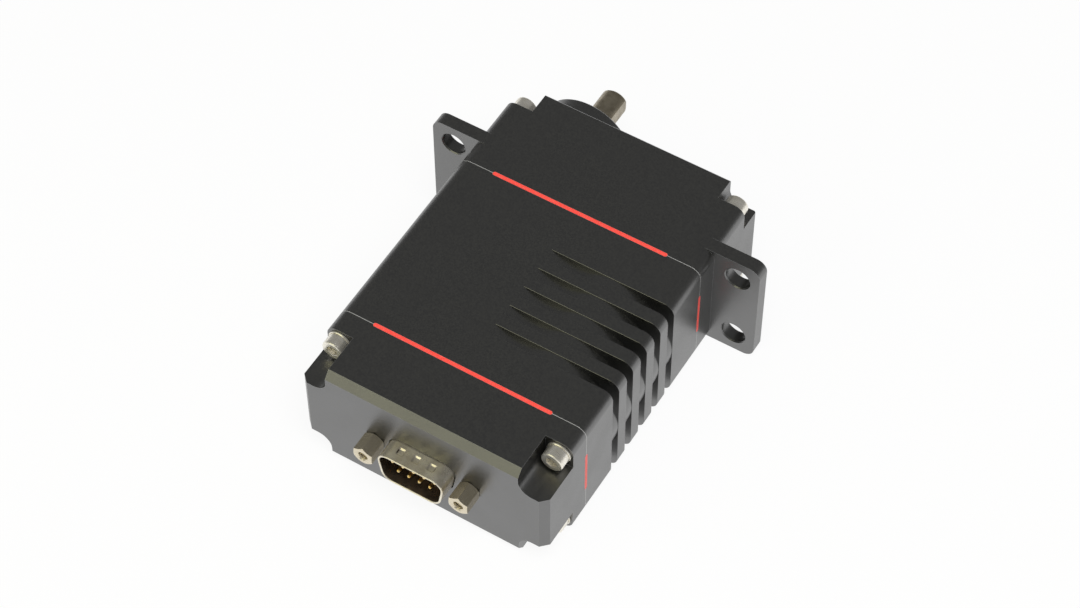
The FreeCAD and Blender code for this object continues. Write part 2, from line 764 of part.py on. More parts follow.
def trapezoid(body, name, place, length, offset, kind, backward=False):
    """A Pad or Pocket of the connector's outline with its corners rounded."""
    feature = slab(body, name, place, length,
                   lambda sketch: add_outline(sketch, shell_outline(offset)), kind, backward)
    doc.recompute()
    edges = trapezoid_edges(feature, offset)
    rounded = dress(body, "Fillet", feature, edges, "(Sizes.shell_corner + (" + offset + "))")
    doc.recompute()
    return rounded


def make_rear_cover():
    """Cover with the connector face: bevelled round that face, open towards the motor housing."""
    body = housing_block("rear_cover_blank", CONNECTOR_FACE, size("rear_cover_length"))
    brows = new_sketch(body, "brows", "YZ_Plane", "0")
    behind = plus(CONNECTOR_FACE, size("brow_depth"))
    for edge, drop in ((TOP, "(" + TOP + " - Sizes.brow_drop)"), (BOTTOM, plus(BOTTOM, size("brow_drop")))):
        add_outline(brows, [(CONNECTOR_FACE, drop), (behind, edge), (CONNECTOR_FACE, edge)])
    feature = extrude(body, brows, "Pocket", "(3 * (" + RIGHT + " - " + LEFT + "))", False)
    feature.Midplane = True
    cheeks = new_sketch(body, "cheeks", "XY_Plane", "0")
    behind = plus(CONNECTOR_FACE, size("cheek_chamfer"))
    for side, inner in ((LEFT, plus(LEFT, size("cheek_chamfer"))),
                        (RIGHT, "(" + RIGHT + " - Sizes.cheek_chamfer)")):
        add_outline(cheeks, [(side, behind), (inner, CONNECTOR_FACE), (side, CONNECTOR_FACE)])
    feature = extrude(body, cheeks, "Pocket", "(2 * Sizes.body_height)", False)
    feature.Midplane = True
    slab(body, "pockets", CONNECTOR_FACE, size("rear_pocket_depth"), draw_corner_pockets, "Pocket")
    slab(body, "screw_holes", CONNECTOR_FACE, size("rear_cover_length"), draw_screw_clearance, "Pocket")
    slab(body, "cavity", REAR_PARTING, "(Sizes.rear_cover_length - Sizes.face_wall)", draw_cavity,
         "Pocket", backward=True)
    reach_x = "(Sizes.flange_width / 2 + Sizes.panel_clearance)"
    reach_z = "(Sizes.flange_height / 2 + Sizes.panel_clearance)"
    slab(body, "flange_recess", plus(CONNECTOR_FACE, size("panel")), "(Sizes.face_wall - Sizes.panel)",
         lambda sketch: add_box_outline(sketch, "(" + MIDDLE + " - " + reach_x + ")",
                                        plus(MIDDLE, reach_x), minus(reach_z), reach_z), "Pocket")
    trapezoid(body, "cutout", CONNECTOR_FACE, size("panel"),
              "(Sizes.shell_thickness + Sizes.panel_clearance)", "Pocket")

    def draw_jack_holes(sketch):
        for sign in ("-", "+"):
            add_circle(sketch, "(" + MIDDLE + sign + " Sizes.jack_spacing / 2)", "0",
                       "(Sizes.jack_stud_diameter + 2 * Sizes.screw_clearance)")

    slab(body, "jack_holes", CONNECTOR_FACE, size("panel"), draw_jack_holes, "Pocket")
    return cut("rear_cover", body, [rear_gasket])


def draw_slot(sketch):
    """The outline of a cooling slot's cut.

    Its floor is a cylinder about the motor that passes just under the top, side and bottom faces, and on
    the top and bottom a shallow hollow, left by the disc cutter, leads it out to the slot's tip.
    """
    motor = FreeCAD.Vector(number(MOTOR_X), 0, 0)
    floor = number(size("slot_floor_radius"))
    cutter = number(size("slot_cutter_radius"))
    tip = FreeCAD.Vector(motor.x - number(size("slot_run_out")), number(TOP), 0)
    # The cutter's centre is its radius away from the tip and both radii away from the motor axis.
    to_tip = tip - motor
    distance = to_tip.Length
    far = floor + cutter
    along = (distance ** 2 + far ** 2 - cutter ** 2) / (2 * distance)
    across = math.sqrt(far ** 2 - along ** 2)
    unit = to_tip / distance
    side = FreeCAD.Vector(unit.y, -unit.x, 0)
    centre = motor + unit * along + side * across
    touch = motor + (centre - motor) * (floor / far)

    def mirrored(point):
        return FreeCAD.Vector(point.x, -point.y, 0)

    body_arc = add_arc(sketch, motor, floor, mirrored(touch), touch)
    upper = add_arc(sketch, centre, cutter, tip, touch)
    lower = add_arc(sketch, mirrored(centre), cutter, mirrored(touch), mirrored(tip))
    outside = number(plus(RIGHT, size("overcut")))
    above = number(plus(TOP, size("overcut")))
    path = [mirrored(tip), FreeCAD.Vector(tip.x, -above, 0), FreeCAD.Vector(outside, -above, 0),
            FreeCAD.Vector(outside, above, 0), FreeCAD.Vector(tip.x, above, 0), tip]
    lines = []
    for start, end in zip(path, path[1:]):
        lines.append(sketch.addGeometry(Part.LineSegment(start, end), False))
    for before, after in zip(lines, lines[1:]):
        sketch.addConstraint(Sketcher.Constraint("Coincident", before, 2, after, 1))
    for line, direction in zip(lines, ("Vertical", "Horizontal", "Vertical", "Horizontal", "Vertical")):
        sketch.addConstraint(Sketcher.Constraint(direction, line))
    pin_point(sketch, lines[1], 2, plus(RIGHT, size("overcut")), "(" + BOTTOM + " - Sizes.overcut)")
    bind(sketch, "DistanceY", (-1, 1, lines[3], 1), plus(TOP, size("overcut")))
    pin_point(sketch, body_arc, 3, MOTOR_X, "0")
    bind(sketch, "Radius", (body_arc,), size("slot_floor_radius"))
    bind(sketch, "Radius", (upper,), size("slot_cutter_radius"))
    bind(sketch, "Radius", (lower,), size("slot_cutter_radius"))
    tip_x = "(" + MOTOR_X + " - Sizes.slot_run_out)"
    pin_point(sketch, upper, 1, tip_x, TOP)
    pin_point(sketch, lower, 2, tip_x, BOTTOM)
    sketch.addConstraint(Sketcher.Constraint("Coincident", upper, 1, lines[4], 2))
    sketch.addConstraint(Sketcher.Constraint("Coincident", lower, 2, lines[0], 1))
    sketch.addConstraint(Sketcher.Constraint("Tangent", upper, 2, body_arc, 2))
    sketch.addConstraint(Sketcher.Constraint("Tangent", lower, 1, body_arc, 1))


def make_motor_housing():
    """Finned section: motor bore, electronics bay and the partition that carries the gear train."""
    body = housing_block("motor_housing_blank", REAR_PARTING, size("motor_housing_length"))
    bay_sides = (plus(LEFT, size("wall")), BAY_RIGHT, plus(BOTTOM, size("wall")),
                 "(" + TOP + " - Sizes.wall)")
    depth = "(Sizes.motor_housing_length - Sizes.partition)"
    slab(body, "bay", REAR_PARTING, depth,
         lambda sketch: add_bay_outline(sketch, bay_sides, [(-1, -1), (-1, 1)], PILLAR_RADIUS), "Pocket")
    slab(body, "motor_bore", REAR_PARTING, depth,
         lambda sketch: add_circle(sketch, MOTOR_X, "0", "(Sizes.motor_diameter + 2 * Sizes.motor_fit)"),
         "Pocket")
    thread_depth = "(Sizes.screw_engagement + Sizes.thread_run_out)"
    slab(body, "rear_threads", REAR_PARTING, thread_depth, draw_screw_threads, "Pocket")
    slab(body, "front_threads", FRONT_PARTING, thread_depth, draw_screw_threads, "Pocket", backward=True)
    # Partition: rear bearing seat with a lip, motor pilot hole, motor screw holes and the idler pin.
    slab(body, "bearing_seat", FRONT_PARTING, size("rear_bearing_width"),
         lambda sketch: add_circle(sketch, "0", "0", size("rear_bearing_diameter")), "Pocket", backward=True)

    def draw_partition_holes(sketch):
        add_circle(sketch, "0", "0", "(Sizes.rear_bearing_diameter - 2 * Sizes.lip_overlap)")
        add_circle(sketch, MOTOR_X, "0", "(Sizes.motor_pilot_diameter + 2 * Sizes.motor_fit)")
        for level in (half("motor_screw_circle"), minus(half("motor_screw_circle"))):
            add_circle(sketch, MOTOR_X, level, "(Sizes.motor_screw_diameter + 2 * Sizes.motor_fit)")

    slab(body, "partition_holes", FRONT_PARTING, size("partition"), draw_partition_holes, "Pocket",
         backward=True)
    slab(body, "idler_hub", FRONT_PARTING, "(Sizes.pinion_start + Sizes.wheel_step - Sizes.hub_gap)",
         lambda sketch: add_circle(sketch, IDLER_X, "0", size("hub_diameter")))
    slab(body, "idler_hole", plus(FRONT_PARTING, size("overcut")), "(Sizes.idler_pin_seat + Sizes.overcut)",
         lambda sketch: add_circle(sketch, IDLER_X, "0", size("idler_pin_diameter")), "Pocket", backward=True)
    # Electronics: posts for the sensor board and grooves for the controller board.

    def at_posts(sketch, diameter):
        for sign in ("-1", "1"):
            add_circle(sketch, "(" + sign + " * Sizes.sensor_post_spacing / 2)", "0", diameter)

    slab(body, "posts", MOTOR_SEAT, SENSOR_POST, lambda sketch: at_posts(sketch, size("sensor_post_diameter")),
         backward=True)
    slab(body, "post_threads", "(" + MOTOR_SEAT + " - " + SENSOR_POST + ")", SENSOR_THREAD,
         lambda sketch: at_posts(sketch, size("small_screw_diameter")), "Pocket")
    low = "(Sizes.board_level - Sizes.groove_clearance)"
    high = "(Sizes.board_level + Sizes.board_thickness + Sizes.groove_clearance)"
    slab(body, "board_grooves", REAR_PARTING, "(" + CONTROLLER_FRONT + " - " + REAR_PARTING + ")",
         lambda sketch: add_box_outline(sketch, "(" + LEFT + " + Sizes.wall - Sizes.board_groove)",
                                        plus(BAY_RIGHT, size("board_groove")), low, high), "Pocket")
    # Cooling slots.
    first = ("(" + REAR_PARTING + " + Sizes.slot_centre - (Sizes.slot_count - 1) / 2 * Sizes.slot_pitch"
             " - Sizes.slot_width / 2)")
    slot = slab(body, "slot", first, size("slot_width"), draw_slot, "Pocket")
    slots = body.newObject("PartDesign::LinearPattern", "cooling_slots")
    slots.Originals = [slot]
    slots.Direction = (slot.Profile[0], ["N_Axis"])
    slots.Reversed = True
    slots.setExpression("Length", "(Sizes.slot_count - 1) * Sizes.slot_pitch")
    slots.setExpression("Occurrences", size("slot_count"))
    body.Tip = slots
    return cut("motor_housing", body, [rear_gasket, front_gasket])


def make_gear_housing():
    """Front section with the mounting ears, the output boss and the seats of bearing and seal."""
    body = housing_block("gear_housing_blank", FRONT_PARTING, size("gear_housing_length"))
    base = body.Tip
    end = number(END_FACE)
    rim = find_edges(base, lambda edge: all(near(point.Point.y, end) for point in edge.Vertexes))
    dress(body, "Chamfer", base, rim, size("face_break"))
    ear_left = "(" + LEFT + " - Sizes.ear_reach)"
    ear_right = plus(RIGHT, size("ear_reach"))
    ear_face = plus(FRONT_PARTING, size("ear_setback"))
    ears = slab(body, "ears", ear_face, size("ear_thickness"),
                lambda sketch: add_box_outline(sketch, ear_left, ear_right, BOTTOM, TOP))
    doc.recompute()
    tips = (number(ear_left), number(ear_right))
    corners = find_edges(ears, lambda edge: runs_along(edge, 1)
                         and any(near(edge.Vertexes[0].Point.x, tip) for tip in tips))
    dress(body, "Fillet", ears, corners, size("ear_corner"))
    boss = slab(body, "boss", END_FACE, size("boss_height"),
                lambda sketch: add_circle(sketch, "0", "0", size("boss_diameter")))
    doc.recompute()
    rim = find_edges(boss, lambda edge: near(edge.Vertexes[0].Point.y, 0))
    dress(body, "Chamfer", boss, rim, size("face_break"))

    def draw_ear_holes(sketch):
        for x in (plus(ear_left, size("ear_hole_inset")), "(" + ear_right + " - Sizes.ear_hole_inset)"):
            for z in (minus(half("ear_hole_spacing")), half("ear_hole_spacing")):
                add_circle(sketch, x, z, size("ear_hole_diameter"))

    holes = slab(body, "ear_holes", ear_face, size("ear_thickness"), draw_ear_holes, "Pocket")
    doc.recompute()
    radius = number(half("ear_hole_diameter"))
    rims = find_edges(holes, lambda edge: edge.Curve.TypeId == "Part::GeomCircle"
                      and near(edge.Curve.Radius, radius))
    dress(body, "Chamfer", holes, rims, size("ear_hole_break"))
    slab(body, "pockets", END_FACE, size("front_pocket_depth"), draw_corner_pockets, "Pocket", backward=True)
    slab(body, "screw_holes", FRONT_PARTING, size("gear_housing_length"), draw_screw_clearance, "Pocket")
    slab(body, "cavity", FRONT_PARTING, "(Sizes.gear_housing_length - Sizes.front_wall)", draw_cavity,
         "Pocket")
    slab(body, "bearing_seat", INNER_FRONT, "(0 - " + INNER_FRONT + " - Sizes.front_bearing_depth)",
         lambda sketch: add_circle(sketch, "0", "0", size("front_bearing_diameter")), "Pocket")
    slab(body, "clip_groove", CLIP_PLACE, size("clip_thickness"),
         lambda sketch: add_circle(sketch, "0", "0", "(Sizes.front_bearing_diameter + 2 * Sizes.clip_groove)"),
         "Pocket")
    slab(body, "lip", "0", size("front_bearing_depth"),
         lambda sketch: add_circle(sketch, "0", "0", "(Sizes.seal_diameter - 2 * Sizes.lip_overlap)"),
         "Pocket", backward=True)
    slab(body, "seal_seat", "0", size("seal_width"),
         lambda sketch: add_circle(sketch, "0", "0", size("seal_diameter")), "Pocket", backward=True)
    slab(body, "idler_hub", INNER_FRONT, "(" + INNER_FRONT + " - " + THIRD_END + " - Sizes.hub_gap)",
         lambda sketch: add_circle(sketch, IDLER_X, "0", size("hub_diameter")), backward=True)
    hub_face = plus(THIRD_END, size("hub_gap"))
    slab(body, "idler_hole", hub_face, "(" + INNER_FRONT + " - " + hub_face + " + Sizes.idler_pin_seat)",
         lambda sketch: add_circle(sketch, IDLER_X, "0", size("idler_pin_diameter")), "Pocket")
    return cut("gear_housing", body, [front_gasket])


# ---------------------------------------------------------------------------------------------------
# Housing screws and washers
# ---------------------------------------------------------------------------------------------------


def cone(name, x, y, z, start_diameter, end_diameter, length):
    """A round taper that starts at the given place and runs towards +Y."""
    feature = doc.addObject("Part::Cone", name)
    feature.setExpression("Radius1", "(" + start_diameter + ") / 2")
    feature.setExpression("Radius2", "(" + end_diameter + ") / 2")
    feature.setExpression("Height", length)
    place_primitive(feature, x, y, z)
    return feature


def headed_screw(name, x, z, seat, forward, shank, head, rise, stem, drive):
    """A socket screw whose head stands on its seat, forward or backward along Y."""
    chamfer = size("head_break")
    narrow = "(" + head + " - 2 * " + chamfer + ")"
    drive_width, drive_depth = drive
    if forward:
        drum = rod(name + "_head", x, seat, z, head, "(" + rise + " - " + chamfer + ")")
        brim = cone(name + "_brim", x, "(" + plus(seat, rise) + " - " + chamfer + ")", z, head, narrow, chamfer)
        stem_start = "(" + seat + " - " + shank + ")"
        drive_start = "(" + plus(seat, rise) + " - " + drive_depth + ")"
    else:
        front = "(" + seat + " - " + rise + ")"
        drum = rod(name + "_head", x, plus(front, chamfer), z, head, "(" + rise + " - " + chamfer + ")")
        brim = cone(name + "_brim", x, front, z, narrow, head, chamfer)
        stem_start = seat
        drive_start = front
    thread = rod(name + "_stem", x, stem_start, z, stem, shank)
    recess = hexagon(name + "_recess", x, drive_start, z, drive_width, drive_depth)
    return cut(name, fuse(name + "_solid", [drum, brim, thread]), [recess])


def make_housing_fasteners(label, parting, seat, forward):
    """Four cap screws and their washers, from pocket seats into the motor housing."""
    screws = []
    washers = []
    gap = "(" + seat + " - " + parting + ")" if forward else "(" + parting + " - " + seat + ")"
    shank = plus(gap, size("screw_engagement"), size("washer_thickness"))
    for i, (sign_x, sign_z) in enumerate(CORNERS, start=1):
        x, z = screw_place(sign_x, sign_z)
        head_seat = plus(seat, size("washer_thickness"))
        washer_start = seat
        if not forward:
            head_seat = "(" + seat + " - Sizes.washer_thickness)"
            washer_start = head_seat
        name = "%s_screw_%d" % (label, i)
        screws.append(headed_screw(name, x, z, head_seat, forward, shank, size("head_diameter"),
                                   size("head_height"), size("screw_diameter"),
                                   (size("socket_width"), size("socket_depth"))))
        disc = rod("%s_washer_disc_%d" % (label, i), x, washer_start, z, size("washer_diameter"),
                   size("washer_thickness"))
        hole = rod("%s_washer_hole_%d" % (label, i), x, washer_start, z, size("screw_diameter"),
                   size("washer_thickness"))
        washers.append(cut("%s_washer_%d" % (label, i), disc, [hole]))
    return [group(label + "_screws", screws), group(label + "_washers", washers)]


# ---------------------------------------------------------------------------------------------------
# Output shaft, bearings and seal
# ---------------------------------------------------------------------------------------------------


def bearing(label, x, start, width, outside, inside, race, shield):
    """A shielded ball bearing as its outer race with shields and its inner race."""
    outer = "(" + outside + " / 2)"
    outer_inside = "(" + outer + " - " + race + ")"
    inner_outside = "(" + inside + " / 2 + " + race + ")"
    shield_bore = plus(inner_outside, size("race_clearance"))
    far_shield = "(" + width + " - " + shield + ")"
    profile = [(shield_bore, "0"), (outer, "0"), (outer, width), (shield_bore, width),
               (shield_bore, far_shield), (outer_inside, far_shield), (outer_inside, shield),
               (shield_bore, shield)]
    outer_race = turned(label + "_outer", x, start, profile)
    inner_race = ring(label + "_inner", x, start, inner_outside, "(" + inside + " / 2)", width)
    return [outer_race, inner_race]


def make_output_shaft():
    """Stepped shaft: rear journal, idler seat, gear seat, shoulder, front journal and flatted end."""
    journal = half("rear_journal_diameter")
    idler = half("idler_seat_diameter")
    gear = half("gear_seat_diameter")
    shoulder = half("shoulder_diameter")
    front_journal = half("front_journal_diameter")
    end = half("shaft_diameter")
    tip = size("shaft_protrusion")
    groove = IDLER_GROOVE_RADIUS
    profile = [("0", SHAFT_REAR), (journal, SHAFT_REAR), (journal, FRONT_PARTING), (idler, FRONT_PARTING),
               (idler, RING_START), (groove, RING_START), (groove, RING_END), (idler, RING_END),
               (idler, FINAL_START), (gear, FINAL_START), (gear, FINAL_END), (shoulder, FINAL_END),
               (shoulder, BEARING_REAR), (front_journal, BEARING_REAR), (front_journal, "0"), (end, "0"),
               (end, "(" + tip + " - Sizes.shaft_break)"), ("(" + end + " - Sizes.shaft_break)", tip),
               ("0", tip)]
    body = turned("output_shaft", "0", "0", profile)
    slab(body, "flat", "0", tip,
         lambda sketch: add_box_outline(sketch, size("shaft_flat"), size("shaft_diameter"),
                                        minus(size("shaft_diameter")), size("shaft_diameter")), "Pocket")
    return body


def make_seal():
    """Lip seal: a rubber ring with a shallow hollow in its outer face, its lip close to the shaft."""
    bore = "(Sizes.front_journal_diameter / 2 + Sizes.race_clearance)"
    lip = "(" + bore + " + Sizes.seal_lip)"
    outer = half("seal_diameter")
    rim = "(" + outer + " - Sizes.seal_rim)"
    width = size("seal_width")
    floor = "(" + width + " - Sizes.seal_relief)"
    profile = [(bore, "0"), (outer, "0"), (outer, width), (rim, width), (rim, floor), (lip, floor),
               (lip, width), (bore, width)]
    return turned("shaft_seal", "0", minus(width), profile)


def make_bearing_clip():
    """Spring ring in a groove behind the front bearing, open at the bottom."""
    outer = "(Sizes.front_bearing_diameter / 2 + Sizes.clip_groove)"
    inner = "(" + outer + " - Sizes.clip_groove - Sizes.clip_height)"
    whole = ring("clip_ring", "0", CLIP_PLACE, outer, inner, size("clip_thickness"))
    mouth = block("clip_mouth", minus(half("clip_gap")), CLIP_PLACE, minus(size("front_bearing_diameter")),
                  size("clip_gap"), size("clip_thickness"), size("front_bearing_diameter"))
    return cut("bearing_clip", whole, [mouth])


# ---------------------------------------------------------------------------------------------------
# Gear train
# ---------------------------------------------------------------------------------------------------


def involute(angle):
    return math.tan(angle) - angle


def toothed_disc(teeth, module, start, width, phase):
    """A spur gear blank with involute flanks about the Y axis, one tooth's middle at the phase angle."""
    pitch = module * teeth / 2
    base = pitch * math.cos(PRESSURE_ANGLE)
    tip = pitch + ADDENDUM * module
    root = pitch - DEDENDUM * module
    thin = number(size("backlash")) / 2
    half_at_pitch = math.pi / (2 * teeth) - thin / (2 * pitch) + involute(PRESSURE_ANGLE)
    flank = []
    for radius in (root, max(base, root + FLANK_START), pitch, tip):
        roll = math.acos(min(1.0, base / radius))
        flank.append((radius, half_at_pitch - involute(roll)))
    points = []
    for i in range(teeth):
        middle = phase + 2 * math.pi * i / teeth
        around = [(radius, middle - spread) for radius, spread in flank]
        around += [(radius, middle + spread) for radius, spread in reversed(flank)]
        for radius, angle in around:
            points.append(FreeCAD.Vector(radius * math.cos(angle), start, radius * math.sin(angle)))
    face = Part.Face(Part.makePolygon(points + points[:1]))
    return face.extrude(FreeCAD.Vector(0, width, 0))


def round_bar(start, length, diameter):
    return Part.makeCylinder(diameter / 2, length, FreeCAD.Vector(0, start, 0), FreeCAD.Vector(0, 1, 0))


def solid_feature(label, shape, x):
    """A solid worked out in code, placed at its axis once its shape is set."""
    feature = doc.addObject("Part::Feature", label)
    feature.Label = label
    feature.Shape = shape
    feature.Placement = FreeCAD.Placement(FreeCAD.Vector(number(x), 0, 0), FreeCAD.Rotation())
    return feature


def module_of(distance, first, second):
    return 2 * number(distance) / (first + second)


def facing(teeth, towards):
    """Phase of a wheel with a gap, not a tooth, in the direction of its driver."""
    return towards + math.pi / teeth


def make_gear_train():
    motor_stage = module_of(size("motor_distance"), MOTOR_PINION_TEETH, FIRST_WHEEL_TEETH)
    second_stage = module_of(size("idler_distance"), FIRST_PINION_TEETH, SECOND_WHEEL_TEETH)
    third_stage = module_of(size("idler_distance"), SECOND_PINION_TEETH, THIRD_WHEEL_TEETH)
    final_stage = module_of(size("idler_distance"), THIRD_PINION_TEETH, OUTPUT_TEETH)
    right = 0.0
    left = math.pi
    clearance = 2 * number(size("running_clearance"))
    pinion_start = number(plus(FRONT_PARTING, size("pinion_start")))
    first = number(FIRST_START)
    first_pinion = number(FIRST_PINION_START)
    second = number(SECOND_START)
    second_pinion = number(SECOND_PINION_START)
    third = number(THIRD_START)
    third_pinion = number(THIRD_PINION_START)
    final = number(FINAL_START)

    pinion = toothed_disc(MOTOR_PINION_TEETH, motor_stage, pinion_start, first_pinion - pinion_start, left)
    pinion = pinion.cut(round_bar(pinion_start, first_pinion - pinion_start,
                                  number(size("motor_shaft_diameter"))))

    pin_bore = number(size("idler_pin_diameter")) + clearance
    first_end = first_pinion + number(size("first_pinion_width"))
    first_gear = toothed_disc(FIRST_WHEEL_TEETH, motor_stage, first, first_pinion - first,
                              facing(FIRST_WHEEL_TEETH, right))
    first_gear = first_gear.fuse(toothed_disc(FIRST_PINION_TEETH, second_stage, first_pinion,
                                              first_end - first_pinion, left))
    first_gear = first_gear.cut(round_bar(first, first_end - first, pin_bore))

    second_end = number(SECOND_END)
    second_gear = toothed_disc(SECOND_WHEEL_TEETH, second_stage, second, second_pinion - second,
                               facing(SECOND_WHEEL_TEETH, right))
    second_gear = second_gear.fuse(toothed_disc(SECOND_PINION_TEETH, third_stage, second_pinion,
                                                second_end - second_pinion, right))
    seat_bore = number(size("idler_seat_diameter")) + clearance
    second_gear = second_gear.cut(round_bar(second, second_end - second, seat_bore))

    third_end = number(THIRD_END)
    third_gear = toothed_disc(THIRD_WHEEL_TEETH, third_stage, third, third_pinion - third,
                              facing(THIRD_WHEEL_TEETH, left))
    third_gear = third_gear.fuse(toothed_disc(THIRD_PINION_TEETH, final_stage, third_pinion,
                                              third_end - third_pinion, left))
    third_gear = third_gear.cut(round_bar(third, third_end - third, pin_bore))

    final_end = number(FINAL_END)
    output_gear = toothed_disc(OUTPUT_TEETH, final_stage, final, final_end - final,
                               facing(OUTPUT_TEETH, right))
    output_gear = output_gear.cut(round_bar(final, final_end - final, number(size("gear_seat_diameter"))))

    return [
        solid_feature("motor_pinion", pinion, MOTOR_X),
        solid_feature("first_idler_gear", first_gear, IDLER_X),
        solid_feature("second_idler_gear", second_gear, "0"),
        solid_feature("third_idler_gear", third_gear, IDLER_X),
        solid_feature("output_gear", output_gear, "0"),
    ]


def make_idler_pin():
    """Fixed steel pin for the idlers, pressed into the partition and the front wall."""
    start = "(" + FRONT_PARTING + " - Sizes.idler_pin_seat)"
    length = "(" + INNER_FRONT + " + Sizes.idler_pin_seat - " + start + ")"
    return rod("idler_pin", IDLER_X, start, "0", size("idler_pin_diameter"), length)


def make_idler_ring():
    """Retaining ring in a groove of the shaft, which keeps the free idler forward."""
    return ring("idler_retaining_ring", "0", RING_START, half("idler_ring_diameter"), IDLER_GROOVE_RADIUS,
                size("idler_ring_thickness"))


# ---------------------------------------------------------------------------------------------------
# Motor
# ---------------------------------------------------------------------------------------------------

MOTOR_REAR = "(" + MOTOR_SEAT + " - Sizes.motor_length)"
STATOR_START = "((" + MOTOR_SEAT + " + " + MOTOR_REAR + " - Sizes.stator_length) / 2)"
ROTOR_RADIUS = "(Sizes.stator_bore / 2 - Sizes.air_gap)"
FRONT_CAP_BACK = "(" + MOTOR_SEAT + " - Sizes.motor_cap - Sizes.motor_spigot)"
MOTOR_BEARING_REAR = "(" + MOTOR_REAR + " + Sizes.motor_cap + Sizes.motor_spigot - Sizes.motor_bearing_width)"


def make_motor_caps():
    """End caps of the motor: each holds a bearing, and the front one has a pilot and two threads."""
    radius = half("motor_diameter")
    bearing_radius = half("motor_bearing_diameter")
    shaft_hole = "(Sizes.motor_shaft_diameter / 2 + Sizes.motor_race / 2)"
    spigot = "(" + radius + " - Sizes.motor_can_wall)"
    pilot = size("motor_pilot_height")
    front_profile = [
        (bearing_radius, "(0 - Sizes.motor_cap - Sizes.motor_spigot)"),
        (spigot, "(0 - Sizes.motor_cap - Sizes.motor_spigot)"),
        (spigot, minus(size("motor_cap"))), (radius, minus(size("motor_cap"))), (radius, "0"),
        (half("motor_pilot_diameter"), "0"), (half("motor_pilot_diameter"), pilot), (shaft_hole, pilot),
        (shaft_hole, "(Sizes.motor_bearing_width - Sizes.motor_cap - Sizes.motor_spigot)"),
        (bearing_radius, "(Sizes.motor_bearing_width - Sizes.motor_cap - Sizes.motor_spigot)"),
    ]
    front = turned("motor_front_cap_blank", MOTOR_X, MOTOR_SEAT, front_profile)
    threads = []
    for i, sign in enumerate(("1", "-1"), start=1):
        level = "(" + sign + " * Sizes.motor_screw_circle / 2)"
        threads.append(rod("motor_thread_%d" % i, MOTOR_X, "(" + MOTOR_SEAT + " - Sizes.motor_cap)", level,
                           size("motor_screw_diameter"), size("motor_cap")))
    front_cap = cut("motor_front_cap", front, threads)
    rear_profile = [
        ("0", "0"), (radius, "0"), (radius, size("motor_cap")), (spigot, size("motor_cap")),
        (spigot, "(Sizes.motor_cap + Sizes.motor_spigot)"),
        (bearing_radius, "(Sizes.motor_cap + Sizes.motor_spigot)"),
        (bearing_radius, "(Sizes.motor_cap + Sizes.motor_spigot - Sizes.motor_bearing_width)"),
        ("0", "(Sizes.motor_cap + Sizes.motor_spigot - Sizes.motor_bearing_width)"),
    ]
    rear_cap = turned("motor_rear_cap", MOTOR_X, MOTOR_REAR, rear_profile)
    return [front_cap, rear_cap]


def make_motor_can():
    length = "(Sizes.motor_length - 2 * Sizes.motor_cap)"
    radius = half("motor_diameter")
    return ring("motor_can", MOTOR_X, plus(MOTOR_REAR, size("motor_cap")), radius,
                "(" + radius + " - Sizes.motor_can_wall)", length)


def sector(inner, outer, start, length, middle, spread):
    """A block bounded by two radii and two rays, about the Y axis."""
    corners = []
    for radius, angle in ((inner, middle - spread[0]), (outer, middle - spread[1]),
                          (outer, middle + spread[1]), (inner, middle + spread[0])):
        corners.append(FreeCAD.Vector(radius * math.cos(angle), start, radius * math.sin(angle)))
    face = Part.Face(Part.makePolygon(corners + corners[:1]))
    return face.extrude(FreeCAD.Vector(0, length, 0))


def make_stator():
    """Laminated core with one slot between neighbouring teeth, and a coil round each tooth."""
    outer = number(half("motor_diameter")) - number(size("motor_can_wall"))
    bore = number(half("stator_bore"))
    root = outer - number(size("stator_yoke"))
    start = number(STATOR_START)
    length = number(size("stator_length"))
    tooth = number(size("stator_tooth"))
    overhang = number(size("coil_overhang"))
    clearance = number(size("coil_clearance"))
    fit = number(size("coil_fit"))
    overcut = number(size("overcut"))
    shoe = bore + number(size("stator_shoe"))
    half_mouth = number(half("stator_mouth")) / bore
    pitch = math.pi / STATOR_TEETH
    core = round_bar(start, length, 2 * outer).cut(round_bar(start, length, 2 * bore))
    coils = []
    for i in range(STATOR_TEETH):
        slot_middle = 2 * pitch * i
        spread = (pitch - math.asin(tooth / 2 / shoe), pitch - math.asin(tooth / 2 / root))
        core = core.cut(sector(shoe, root, start - overcut, length + 2 * overcut, slot_middle, spread))
        core = core.cut(sector(bore - overcut, shoe + overcut, start - overcut, length + 2 * overcut,
                               slot_middle, (half_mouth, half_mouth)))
        tooth_middle = slot_middle + pitch
        inner = shoe + clearance
        end = root - clearance
        wide = (pitch - clearance / inner, pitch - clearance / end)
        coil_start = start - overhang
        coil_length = length + 2 * overhang
        coil = sector(inner, end, coil_start, coil_length, tooth_middle, wide)
        coil = coil.cut(round_bar(coil_start, coil_length, 2 * inner))
        gap = tooth / 2 + fit
        hole = sector(inner - overcut, end + overcut, start - fit, length + 2 * fit, tooth_middle,
                      (math.asin(gap / (inner - overcut)), math.asin(gap / (end + overcut))))
        coils.append(coil.cut(hole))
    return [solid_feature("stator_core", core, MOTOR_X),
            solid_feature("stator_coils", Part.makeCompound(coils), MOTOR_X)]


